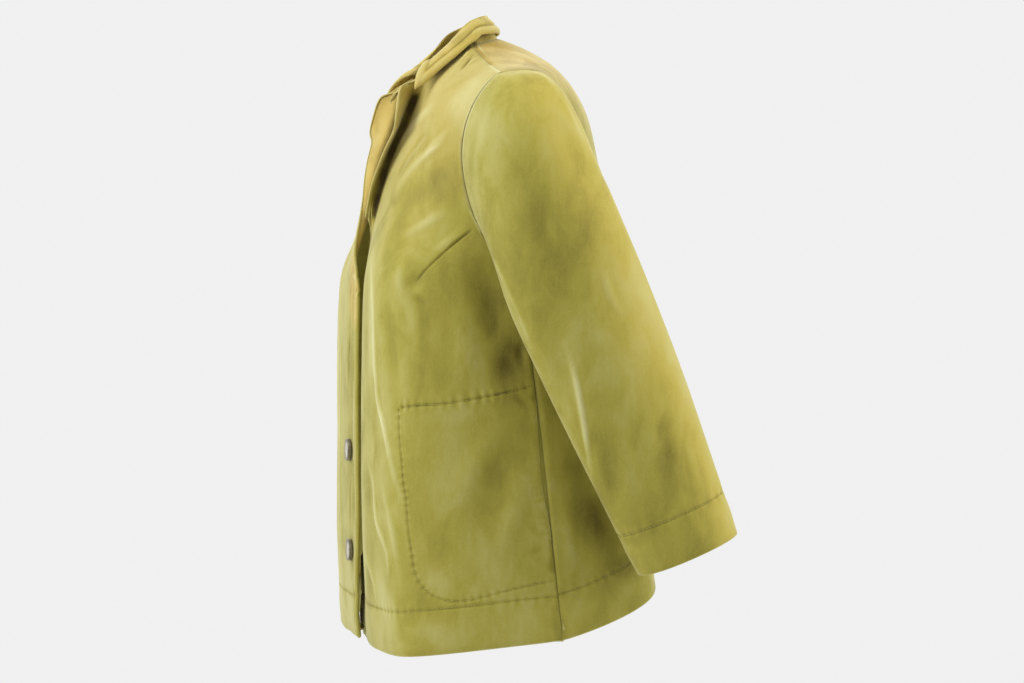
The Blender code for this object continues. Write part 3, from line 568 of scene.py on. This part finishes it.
def boundary_chain(bm):
    """The sheet's open edge as chains of vertices, begun in the mesh's own order so that each run is alike."""
    edges = dict.fromkeys(edge for edge in bm.edges if edge.is_boundary)
    chains = []
    while edges:
        edge = next(iter(edges))
        loop = edge.link_loops[0]
        chain = [loop.vert]
        place = loop.link_loop_next.vert
        del edges[edge]
        while place is not chain[0]:
            chain.append(place)
            edge = next((e for e in place.link_edges if e in edges), None)
            if edge is None:
                break
            del edges[edge]
            place = edge.other_vert(place)
        chains.append(chain)
    return chains


def along_chain(chain, i):
    """The direction of a chain at its vertex i."""
    count = len(chain)
    return (chain[(i + 1) % count].co - chain[i % count - 1].co).normalized()


def kind_of_front(point, along):
    """What finishes a front's edge at a point: hem, side seam, slit, shoulder seam, lapel or edge."""
    if point[2] < HEM_TOP and abs(along[2]) < LEVEL:
        return "hem"
    if abs(point[0]) > SIDE_OUT:
        if point[2] > UNDERARM:
            return "armhole"
        return "slit" if SLIT[0] < point[2] < SLIT[1] else "tucked"
    if point[2] > SHOULDER_LOW and abs(point[1]) < SHOULDER_NEAR:
        return "tucked"
    return "lapel" if point[2] > LAPEL_LOW else "edge"


def kind_of_back(point, along):
    kind = kind_of_front(point, along)
    return kind if kind in ("hem", "armhole") else "covering"


def kind_of_sleeve(point, along):
    return "hem" if point[2] < CUFF_TOP else "set_in"


def kind_of_collar(point, along):
    """The collar's neck edge is sewn in, and its other edges are turned."""
    neck = COLLAR_NECK
    from_neck = math.hypot(point[0] / neck["across"], (point[1] - neck["middle"]) / neck["deep"])
    return "neck" if from_neck < neck["reach"] and point[1] > neck["front"] else "rolled"


def kind_of_strip(point, along):
    return "covering"


def smoothed(vectors, times):
    """Directions round a closed chain, each averaged with its neighbours."""
    found = np.array(vectors)
    for _ in range(times):
        found = found + 0.5 * (np.roll(found, 1, axis=0) + np.roll(found, -1, axis=0))
        found /= np.linalg.norm(found, axis=1, keepdims=True)
    return found


def outward_of(chain):
    """At each vertex of an open edge, the direction in the sheet away from it, and the normal."""
    found, normals = [], []
    for i, vert in enumerate(chain):
        outward = along_chain(chain, i).cross(vert.normal).normalized()
        inside = sum((edge.other_vert(vert).co for edge in vert.link_edges), Vector()) / len(vert.link_edges)
        if outward.dot(vert.co - inside) < 0:
            outward.negate()
        found.append(outward)
        normals.append(vert.normal)
    return smoothed(found, EDGE_SMOOTH), smoothed(normals, EDGE_SMOOTH)


def edge_section(finish, kind):
    """Points past an edge, as distances (out of the sheet, behind it)."""
    thick, deep = finish["thick"], finish["deep"]
    if kind in ("tucked", "set_in"):
        return [(0.0, 0.5 * thick), (0.0, thick), (0.3 * deep, 1.02 * thick), (0.6 * deep, 1.04 * thick),
                (0.8 * deep, 1.06 * thick), (deep, 1.08 * thick)]
    if kind == "neck":
        return [(0.5 * deep, 0.1 * thick), (deep, 0.3 * thick), (1.1 * deep, 0.6 * thick),
                (deep, 0.9 * thick), (0.6 * deep, thick), (0.0, thick)]
    if not thick:
        return [(0.0, deep * (step + 1) / 6) for step in range(6)]
    rolled = [(row["out"] * thick, row["back"] * thick) for row in TURNED]
    return rolled + [(-0.5 * deep, thick), (-deep, thick)]


def turn_edges(bm, chains, kind_of):
    """Turns each open edge back: a hem or facing lies behind the cloth, a seam allowance stands inwards."""
    bm.normal_update()
    for chain in chains:
        count = len(chain)
        outward, normals = outward_of(chain)
        sections = []
        for i, vert in enumerate(chain):
            kind = kind_of(vert.co, along_chain(chain, i))
            sections.append(edge_section(FINISHES[kind], kind))
        sections = np.array(sections)
        for _ in range(EDGE_SMOOTH):
            sections = (np.roll(sections, 1, axis=0) + 2 * sections + np.roll(sections, -1, axis=0)) / 4
        rings = [chain]
        for step in range(sections.shape[1]):
            ring = []
            for i, vert in enumerate(chain):
                out, behind = sections[i, step]
                ring.append(bm.verts.new(vert.co + Vector(outward[i] * out - normals[i] * behind)))
            rings.append(ring)
        for low, high in zip(rings, rings[1:]):
            for i in range(count):
                k = (i + 1) % count
                bm.faces.new((low[i], high[i], high[k], low[k]))


def chain_paths(chains, kind_of, wanted):
    """The stretches of the open edge of one kind, as paths in space."""
    found = []
    for chain in chains:
        count = len(chain)
        run = []
        for i in range(count + 1):
            vert = chain[i % count]
            if kind_of(vert.co, along_chain(chain, i)) == wanted:
                run.append(np.array(vert.co))
            else:
                if len(run) > SHORTEST_RUN:
                    found.append(np.array(run))
                run = []
        if len(run) > SHORTEST_RUN:
            found.append(np.array(run))
    return found


def edge_creases(points, chains, kind_of):
    """Stitched grooves at a distance from the edges with their painted light, the pull of the seams, and how
    far creases may reach.
    """
    height = np.zeros(len(points))
    pile_and_painted_light = np.zeros(len(points))
    free = np.ones(len(points))
    for kind in SEAMS:
        for path in chain_paths(chains, kind_of, kind):
            free = np.minimum(free, eased(along_path(points, path)[0] / SEAM_FADE))
    for row in EDGE_ROWS:
        for path in chain_paths(chains, kind_of, row["kind"]):
            away, place, _ = along_path(points, path)
            seed = seed_of(row)
            uneven = 1 + 0.15 * np.sin(place / 0.023 + seed)
            shape = soft((away - row["off"]) / row["wide"]) * uneven
            height += row["high"] * shape
            pile_and_painted_light += row["painted_light"] * shape
            if "pucker" in row:
                wander = 1.6 * np.sin(place / 0.019 + seed) + 0.9 * np.sin(place / 0.0083)
                waves = np.cos(2 * math.pi * place / row["pitch"] + wander)
                strength = soft((away - row["off"]) / row["reach"])
                strength = strength * (0.6 + 0.4 * np.sin(place / 0.023 + 0.7))
                height += row["pucker"] * waves * strength * free
                pile_and_painted_light += 0.15 * waves * strength
    return height, pile_and_painted_light, free


def refine_near(obj, wanted):
    """One more subdivision of the faces whose centres are wanted."""
    select_only(obj)
    centres = np.empty(len(obj.data.polygons) * 3)
    obj.data.polygons.foreach_get("center", centres)
    choose_faces(obj, wanted(centres.reshape(-1, 3)))
    bpy.ops.mesh.subdivide(number_cuts=1, ngon=False)
    bpy.ops.object.mode_set(mode="OBJECT")


def refine(obj, lines, edges):
    """Smaller faces along the drawn creases, and smaller still along stitched lines."""
    shaped = [(path, row) for path, row in lines if len(path) > 1 and row["high"] and row["wide"] < BROAD]
    fine = [path for path, row in shaped if "pucker" in row or row["wide"] < NARROW]

    def near_creases(points):
        near = near_lines(points)
        for path, row in shaped:
            near |= along_path(points, path)[0] < row["wide"] + CREASE_MARGIN
        return near

    def near_lines(points):
        near = np.zeros(len(points), bool)
        for path in fine:
            near |= along_path(points, path)[0] < FINE_REACH
        for path, off in edges:
            near |= abs(along_path(points, path)[0] - off) < FINE_REACH
        return near

    refine_near(obj, near_creases)
    refine_near(obj, near_lines)


def stitched_edges(obj, kind_of):
    """The paths that stitched lines run beside, each with their distance from it."""
    bm = bmesh.new()
    bm.from_mesh(obj.data)
    chains = boundary_chain(bm)
    found = []
    for row in EDGE_ROWS:
        if row["name"] in STITCHED:
            found += [(path, row["off"]) for path in chain_paths(chains, kind_of, row["kind"])]
    bm.free()
    return found


def golden_cast(points, chains, kind_of):
    """Painted golden light: 1 on the turned-back lapel, fading out past it."""
    cast = np.zeros(len(points))
    for path in chain_paths(chains, kind_of, "lapel"):
        cast = np.maximum(cast, np.clip(2 - 2 * along_path(points, path)[0] / GOLDEN_REACH, 0, 1))
    return cast


def add_values(mesh, name, values, rest):
    """A float for each vertex; the vertices of turned edges, past the end of values, get the rest."""
    layer = mesh.attributes.new(name, "FLOAT", "POINT")
    every = np.full(len(mesh.vertices), rest)
    every[: len(values)] = values
    layer.data.foreach_set("value", every)


def cloth_piece(
    node, look, near, facing, kind_of, drawn, corner=50, thick=CLOTH, levels=SUBDIVISIONS, golden=False
):
    """A velvet panel on its solid's form. drawn casts (path in space, row) pairs onto the bare sheet."""
    obj = outer_sheet(node, node + "_velvet", near, facing, corner)
    apply_modifier(obj, "SUBSURF", boundary_smooth="PRESERVE_CORNERS", levels=levels, render_levels=levels)
    tree = BVHTree.FromPolygons(
        [tuple(v.co) for v in obj.data.vertices], [tuple(f.vertices) for f in obj.data.polygons]
    )
    lines = [(path, row) for path, row in drawn(tree) if len(path) > 1]
    edges = stitched_edges(obj, kind_of)
    refine(obj, lines, edges)
    bm = bmesh.new()
    bm.from_mesh(obj.data)
    chains = boundary_chain(bm)
    points = points_of(obj.data)
    height, pile_and_painted_light, free = edge_creases(points, chains, kind_of)
    for path, row in lines:
        more, mark = crease(points, path, row)
        height += more * free
        pile_and_painted_light += mark
    moved = points + normals_at(obj.data) * height[:, None]
    for vert, place in zip(bm.verts, moved):
        vert.co = place
    bm.normal_update()
    cast = golden_cast(points, chains, kind_of) if golden else np.zeros(len(points))
    seams = stitch_places(bm, lines, chains, kind_of)
    turn_edges(bm, chains, kind_of)
    bm.to_mesh(obj.data)
    bm.free()
    # Painted highlights and shade, and the painted golden light on the lapel, go to the velvet's colour;
    # turned edges get a painted highlight
    add_values(obj.data, "painted_light", pile_and_painted_light, TURNED_PAINTED_LIGHT)
    add_values(obj.data, "golden", cast, 0.0)
    apply_modifier(obj, "SOLIDIFY", thickness=thick, offset=-1.0)
    obj.data.shade_smooth()
    obj.data.materials.append(look)
    finish_piece(obj, "velvet", node)
    return obj, seams


def stitch_places(bm, lines, chains, kind_of):
    """Where each stitch lies on the finished sheet: its middle, the way it runs and the cloth's normal."""
    tree = BVHTree.FromBMesh(bm)
    paths = [path for path, row in lines if row["name"].removesuffix("_other") in THREADED]
    for row in EDGE_ROWS:
        if row["name"] not in STITCHED:
            continue
        for chain in chains:
            outward, _ = outward_of(chain)
            count = len(chain)
            run = []
            for i in range(count + 1):
                vert = chain[i % count]
                if i < count and kind_of(vert.co, along_chain(chain, i)) == row["kind"]:
                    run.append(np.array(vert.co) - outward[i] * row["off"])
                    continue
                if len(run) > SHORTEST_RUN:
                    paths.append(np.array(run))
                run = []
    found = []
    for path in paths:
        lengths = np.concatenate([[0.0], np.cumsum(np.linalg.norm(np.diff(path, axis=0), axis=1))])
        stations = np.arange(STITCH_PITCH, lengths[-1] - STITCH_PITCH, STITCH_PITCH)
        spots = np.stack([np.interp(stations, lengths, path[:, k]) for k in range(3)], axis=1)
        ahead = np.stack([np.interp(stations + 0.001, lengths, path[:, k]) for k in range(3)], axis=1)
        for spot, next_spot in zip(spots, ahead):
            hit, normal, _, away = tree.find_nearest(spot)
            if hit is not None and away < STITCH_NEAR:
                found.append((hit, (Vector(next_spot) - Vector(spot)).normalized(), normal))
    return found


def model_stitch():
    """One thread stitch: a short rounded bar, its ends dipping into the cloth."""
    bpy.ops.object.select_all(action="DESELECT")
    bpy.ops.mesh.primitive_cylinder_add(vertices=6, radius=STITCH_THICK, depth=STITCH_LONG)
    obj = bpy.context.active_object
    bpy.ops.object.mode_set(mode="EDIT")
    bpy.ops.mesh.select_all(action="SELECT")
    bpy.ops.transform.rotate(value=math.pi / 2, orient_axis="Y", center_override=(0, 0, 0))
    bpy.ops.object.mode_set(mode="OBJECT")
    choose_faces(obj, [abs(face.normal.x) > 0.9 for face in obj.data.polygons])
    bpy.ops.mesh.inset(thickness=STITCH_THICK * 0.45, depth=STITCH_THICK * 0.8, use_individual=True)
    bpy.ops.transform.translate(value=(0, 0, -0.5 * STITCH_THICK))
    bpy.ops.object.mode_set(mode="OBJECT")
    obj.data.shade_smooth()
    return obj


def lay_stitches(name, pattern, places, look):
    """Copies of the stitch along the seams of one panel, as one piece."""
    base = points_of(pattern.data)
    faces = [tuple(face.vertices) for face in pattern.data.polygons]
    points, all_faces = [], []
    for number, (spot, along, normal) in enumerate(places):
        tilt = 0.06 * math.sin(number * 2.4) + 0.04 * math.sin(number * 0.7)
        side = normal.cross(along).normalized()
        way = (along + side * tilt).normalized()
        side = normal.cross(way).normalized()
        turn = np.array([way, side, normal]).T
        first = len(points) * len(base)
        points.append(base @ turn.T + np.array(spot) + np.array(normal) * STITCH_THICK * 0.35)
        all_faces += [tuple(first + i for i in face) for face in faces]
    mesh = bpy.data.meshes.new(name)
    mesh.from_pydata(np.concatenate(points).tolist(), [], all_faces)
    mesh.update()
    mesh.shade_smooth()
    mesh.materials.append(look)
    obj = bpy.data.objects.new(name, mesh)
    bpy.context.scene.collection.objects.link(obj)
    finish_piece(obj, None)


def finish_piece(obj, slot, *nodes):
    """Fixes a piece to the body in place of these nodes. slot is not used."""
    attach(obj, "root")
    if nodes:
        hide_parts(*nodes)


class Wire:
    """A shader socket. Sums and products on it add Math nodes."""

    def __init__(self, tree, socket):
        self.tree = tree
        self.socket = socket

    def node(self, kind, settings=None, inputs=None, out=0):
        made = self.tree.nodes.new(kind)
        for name, value in (settings or {}).items():
            setattr(made, name, value)
        for name, value in (inputs or {}).items():
            if isinstance(value, Wire):
                self.tree.links.new(value.socket, made.inputs[name])
            else:
                made.inputs[name].default_value = value
        return Wire(self.tree, made.outputs[out])

    def noise(self, place, scale, detail, **more):
        return self.node(
            "ShaderNodeTexNoise", None, {"Vector": place, "Scale": scale, "Detail": detail, **more}
        )

    def part(self, axis):
        """One of a vector's three numbers."""
        return self.node("ShaderNodeSeparateXYZ", None, {"Vector": self}, out=axis)

    def attribute(self, name):
        return self.node("ShaderNodeAttribute", dict(attribute_name=name), None, out="Fac")

    def maths(self, operation, first, second, clamp=False):
        settings = dict(operation=operation, use_clamp=clamp)
        return self.node("ShaderNodeMath", settings, {0: first, 1: second})

    def __add__(self, other):
        return self.maths("ADD", self, other)

    def __sub__(self, other):
        return self.maths("SUBTRACT", self, other)

    def __rsub__(self, other):
        return self.maths("SUBTRACT", other, self)

    def __mul__(self, other):
        return self.maths("MULTIPLY", self, other)

    def __pow__(self, other):
        return self.maths("POWER", self, other)

    def held(self):
        """The value kept between 0 and 1."""
        return self.maths("ADD", self, 0.0, clamp=True)


def mix(share, first, second):
    settings = dict(data_type="RGBA", clamp_factor=True)
    return share.node("ShaderNodeMix", settings, {"Factor": share, 6: first, 7: second}, out=2)


def new_material(name):
    made = bpy.data.materials.new(name)
    made.use_nodes = True
    tree = made.node_tree
    shader = tree.nodes["Principled BSDF"]
    return made, Wire(tree, None), shader


def opaque(colour):
    return (*colour, 1.0)


def velvet(name, deep, mid, light, gold, where):
    """Silky pile: dark where it is pressed, faces the eye or gets painted shade; pale where it was brushed,
    gets a painted highlight or is seen aslant, a painted sheen.
    """
    made, start, shader = new_material(name)
    place = start.node("ShaderNodeTexCoord", out="Object")
    y, z = place.part("Y"), place.part("Z")
    slanted = start.node(
        "ShaderNodeMapping", None, {"Vector": place, "Rotation": (0.6, 0.0, 0.3), "Scale": (1.0, 1.4, 0.75)}
    )
    brushed = start.node("ShaderNodeMapping", None, {"Vector": place, "Scale": (1.0, 1.0, 0.16)})
    broad = start.noise(slanted, 8.5, 2.0, Roughness=0.5, Distortion=0.35)
    crush = start.noise(slanted, 34.0, 3.0, Roughness=0.55, Distortion=0.5)
    streak = start.noise(brushed, 330.0, 2.0, Roughness=0.6)
    pile_and_painted_light = start.noise(place, 1300.0, 2.0)
    painted_light = start.attribute("painted_light")
    golden = start.attribute("golden")
    facing = start.node("ShaderNodeLayerWeight", None, {"Blend": 0.40}, out="Facing")
    # Random pile mottle plus the painted highlights and shade of the creases and patches
    lie_and_painted_light = (broad - 0.5) * 1.15 + (crush - 0.5) * 0.95 + (streak - 0.5) * 0.2 + (pile_and_painted_light - 0.5) * 0.75 + painted_light
    across, up, offset = where
    # Painted warm light: a golden cast on the upper and back sides and on the turned-back lapel
    warm_painted_light = (y * across + z * up + offset + (broad - 0.5) * 0.9 + golden).held()
    ground = mix(warm_painted_light, opaque(mid), opaque(gold))
    # Pressed pile and painted shade darken towards the deep colour
    pressed_and_painted_shade = (0.0 - lie_and_painted_light * 0.80 + 0.02).held()
    body = mix(pressed_and_painted_shade, ground, opaque(deep))
    paler = mix(warm_painted_light * 0.45, opaque(light), opaque(tuple(0.5 * (a + b) for a, b in zip(light, gold))))
    # Painted sheen where the surface is seen aslant, plus the painted highlights
    glow = (facing ** 2.4 * 0.46 + (lie_and_painted_light - 0.04) * 0.60).held() * 0.92
    colour = mix(glow, body, paler)
    start.tree.links.new(colour.socket, shader.inputs["Base Color"])
    shader.inputs["Roughness"].default_value = 0.70
    shader.inputs["Specular IOR Level"].default_value = 0.22
    shader.inputs["Sheen Weight"].default_value = 0.42
    shader.inputs["Sheen Roughness"].default_value = 0.36
    shader.inputs["Sheen Tint"].default_value = opaque(SHEEN)
    grain = pile_and_painted_light * 0.6 + streak * 0.5 + crush * 0.9
    bump = start.node("ShaderNodeBump", None, {"Strength": 0.22, "Distance": 0.0006, "Height": grain})
    start.tree.links.new(bump.socket, shader.inputs["Normal"])
    return made


def thread():
    """Fine twisted thread, a little paler than the cloth."""
    made, start, shader = new_material("thread")
    place = start.node("ShaderNodeTexCoord", out="Object")
    colour = mix(start.noise(place, 2600.0, 1.0), *map(opaque, THREAD))
    start.tree.links.new(colour.socket, shader.inputs["Base Color"])
    shader.inputs["Roughness"].default_value = 0.55
    return made


def add_light(name, side, away, up, size, power):
    data = bpy.data.lights.new(name, "AREA")
    data.shape = "RECTANGLE"
    data.size, data.size_y = size
    data.energy = power
    obj = bpy.data.objects.new(name, data)
    bpy.context.scene.collection.objects.link(obj)
    obj.location = LIT_POINT + EYE_SIDE * side + EYE_AWAY * away + Vector((0, 0, up))
    obj.rotation_euler = (LIT_POINT - obj.location).to_track_quat("-Z", "Y").to_euler()


def add_camera():
    data = bpy.data.cameras.new("camera")
    data.sensor_width = SENSOR
    data.lens = SENSOR * EYE_FAR / (PHOTO_WIDE * PIXEL)
    obj = bpy.data.objects.new("camera", data)
    bpy.context.scene.collection.objects.link(obj)
    start, _ = photo_ray(*MIDDLE)
    obj.location = start
    obj.rotation_euler = (EYE_AIM - start).to_track_quat("-Z", "Y").to_euler()
    bpy.context.scene.camera = obj


def add_room():
    """A pale floor under the jacket, pale surroundings and soft lights."""
    world = bpy.data.worlds.new("room")
    bpy.context.scene.world = world
    world.use_nodes = True
    tree = world.node_tree
    wall = tree.nodes["Background"]
    wall.inputs["Color"].default_value = opaque((BACKDROP,) * 3)
    wall.inputs["Strength"].default_value = 1.0
    fill = tree.nodes.new("ShaderNodeBackground")
    fill.inputs["Color"].default_value = opaque(FILL["colour"])
    fill.inputs["Strength"].default_value = FILL["strength"]
    seen = tree.nodes.new("ShaderNodeLightPath")
    both = tree.nodes.new("ShaderNodeMixShader")
    tree.links.new(seen.outputs["Is Camera Ray"], both.inputs[0])
    tree.links.new(fill.outputs[0], both.inputs[1])
    tree.links.new(wall.outputs[0], both.inputs[2])
    tree.links.new(both.outputs[0], tree.nodes["World Output"].inputs["Surface"])
    bpy.context.scene.view_settings.view_transform = "Standard"
    bpy.ops.mesh.primitive_plane_add(size=FLOOR["wide"], location=(0.0, 0.0, FLOOR["low"]))
    floor = bpy.context.active_object
    floor.name = "floor"
    made, _, shader = new_material("floor")
    shader.inputs["Base Color"].default_value = opaque((FLOOR["grey"],) * 3)
    shader.inputs["Roughness"].default_value = 0.9
    floor.data.materials.append(made)
    for row in LIGHTS:
        add_light(**row)


def drawn_by(ray, rows, other_rows=(), other_ray=None):
    """Casts rows in photo pixels and rows in metres onto a piece once its sheet exists."""
    def cast(tree):
        found = [(cast_path(tree, ray, row["path"], PHOTO_STEP), row) for row in rows]
        return found + [(cast_path(tree, other_ray, row["path"], SPACE_STEP), row) for row in other_rows]
    return cast


def mirror_ray(x, y):
    start, way = photo_ray(x, y)
    return Vector((-start.x, start.y, start.z)), Vector((-way.x, way.y, way.z))


def mirror_cast(rows, seen_rows=()):
    """The left side's rows cast on the right piece as in a mirror, then set a little differently."""
    def cast(tree):
        found = []
        for row in rows:
            path = cast_path(tree, mirror_ray, row["path"], PHOTO_STEP)
            if len(path) > 1:
                found.append(mirrored(path * MIRROR, row))
        return found + [(cast_path(tree, photo_ray, row["path"], PHOTO_STEP), row) for row in seen_rows]
    return cast


def model_button(radius, thick):
    """A button facing up: a disc with a rounded rim, a shallow dish and two sewing holes."""
    bpy.ops.object.select_all(action="DESELECT")
    bpy.ops.mesh.primitive_cylinder_add(vertices=64, radius=radius, depth=thick, end_fill_type="NGON")
    obj = bpy.context.active_object
    choose_faces(obj, [face.normal.z > 0.9 for face in obj.data.polygons])
    bpy.ops.mesh.inset(thickness=RIM_IN * 0.65, depth=0.0)
    bpy.ops.mesh.inset(thickness=RIM_IN * 0.35, depth=-DISH_DEEP * 0.7)
    bpy.ops.mesh.inset(thickness=RIM_IN * 0.5, depth=-DISH_DEEP * 0.3)
    bpy.ops.object.mode_set(mode="OBJECT")
    apply_modifier(obj, "BEVEL", width=0.0008, segments=4, limit_method="ANGLE", angle_limit=math.radians(25))
    for side in (-1, 1):
        bpy.ops.object.select_all(action="DESELECT")
        bpy.ops.mesh.primitive_cylinder_add(
            vertices=20, radius=HOLE_RADIUS, depth=3 * thick, location=(side * HOLE_ASIDE, 0.0, 0.0)
        )
        hole = bpy.context.active_object
        apply_modifier(obj, "BOOLEAN", operation="DIFFERENCE", object=hole, solver="EXACT")
        bpy.data.objects.remove(hole, do_unlink=True)
    select_only(obj)
    bpy.ops.object.shade_smooth_by_angle(angle=math.radians(32))
    return obj


def button(node, pattern, look):
    """A copy of the modelled button in its solid's place, facing forwards."""
    low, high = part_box(node)
    obj = bpy.data.objects.new(node + "_pearl", pattern.data.copy())
    bpy.context.scene.collection.objects.link(obj)
    points = points_of(obj.data)
    centre = (low + high) / 2
    placed = np.stack([points[:, 0], -points[:, 2], points[:, 1]], axis=1) + np.array(centre)
    obj.data.vertices.foreach_set("co", placed.ravel())
    obj.data.update()
    obj.data.materials.append(look)
    finish_piece(obj, "horn", node)


def pearl(centres, radius):
    """Shell: a dark grey-brown rim and a pale clouded middle."""
    made, start, shader = new_material("pearl")
    place = start.node("ShaderNodeTexCoord", out="Object")
    x, z = place.part("X"), place.part("Z")
    near = None
    for centre in centres:
        away = ((x - centre[0]) ** 2.0 + (z - centre[2]) ** 2.0) ** 0.5
        near = away if near is None else near.maths("MINIMUM", near, away)
    cloud = start.noise(place, 190.0, 4.0)
    ring = (near * (1.0 / radius) * 3.6 - 2.15 + (cloud - 0.5) * 0.7).held()
    clouded = (cloud * 2.0 - 0.5).held()
    colour = mix(ring, mix(clouded, *map(opaque, PEARL_MIDDLE)), mix(clouded, *map(opaque, PEARL_RIM)))
    start.tree.links.new(colour.socket, shader.inputs["Base Color"])
    shader.inputs["Roughness"].default_value = 0.26
    shader.inputs["Coat Weight"].default_value = 0.3
    return made


def sew(sewn):
    """Lays the raised stitches on each panel that has them."""
    stitch = model_stitch()
    look = thread()
    for node, places in sewn.items():
        lay_stitches(node + "_stitches", stitch, places, look)
    bpy.data.objects.remove(stitch, do_unlink=True)


def add_buttons():
    boxes = {node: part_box(node) for node in BUTTONS}
    low, high = boxes[BUTTONS[0]]
    pattern = model_button((high.x - low.x) / 2, high.y - low.y)
    low, high = boxes[BUTTONS[-1]]
    shell = pearl([(start + end) / 2 for start, end in boxes.values()], (high.x - low.x) / 2)
    for node in BUTTONS:
        button(node, pattern, shell)
    bpy.data.objects.remove(pattern, do_unlink=True)


def main():
    looks = {name: velvet(name, **colours) for name, colours in VELVETS.items()}
    sewn = {}
    left, sewn["front_left"] = cloth_piece(
        "front_left", looks["velvet_front"], (0.12, -0.08, -0.35), (0.3, -1, 0), kind_of_front,
        drawn_by(photo_ray, LEFT_FRONT, UNDERLAP, front_ray),
    )
    right, sewn["front_right"] = cloth_piece(
        "front_right", looks["velvet_front"], (-0.12, -0.08, -0.35), (-0.3, -1, 0), kind_of_front,
        mirror_cast(LEFT_FRONT, RIGHT_FRONT_SEEN), corner=44, golden=True,
    )
    behind, sewn["back"] = cloth_piece(
        "back", looks["velvet_back"], (0.0, 0.16, -0.40), (0, 1, 0), kind_of_back,
        drawn_by(photo_ray, LEFT_BACK_SEEN, BACK_FOLDS, back_ray),
    )
    sleeve_left, sewn["sleeve_left"] = cloth_piece(
        "sleeve_left", looks["velvet_sleeve"], (0.288, 0.10, -0.35), (1, 0, 0), kind_of_sleeve,
        drawn_by(photo_ray, LEFT_SLEEVE),
    )
    sleeve_right, sewn["sleeve_right"] = cloth_piece(
        "sleeve_right", looks["velvet_sleeve"], (-0.288, 0.10, -0.35), (-1, 0, 0), kind_of_sleeve,
        mirror_cast(LEFT_SLEEVE),
    )
    collar, _ = cloth_piece(
        "collar", looks["velvet_collar"], (0.0, 0.045, 0.022), (0, 1, 0.3), kind_of_collar,
        drawn_by(photo_ray, COLLAR_SEEN), corner=58, thick=COLLAR_CLOTH, levels=3,
    )
    for node, side in (("pocket_left", 1), ("pocket_right", -1)):
        strip, _ = cloth_piece(
            node, looks["velvet_front"], (side * 0.2, 0.04, -0.41), (side, 0, 0), kind_of_strip,
            drawn_by(photo_ray, ()), thick=STRIP_CLOTH,
        )
    sew(sewn)
    add_buttons()
    add_room()
    add_camera()


main()
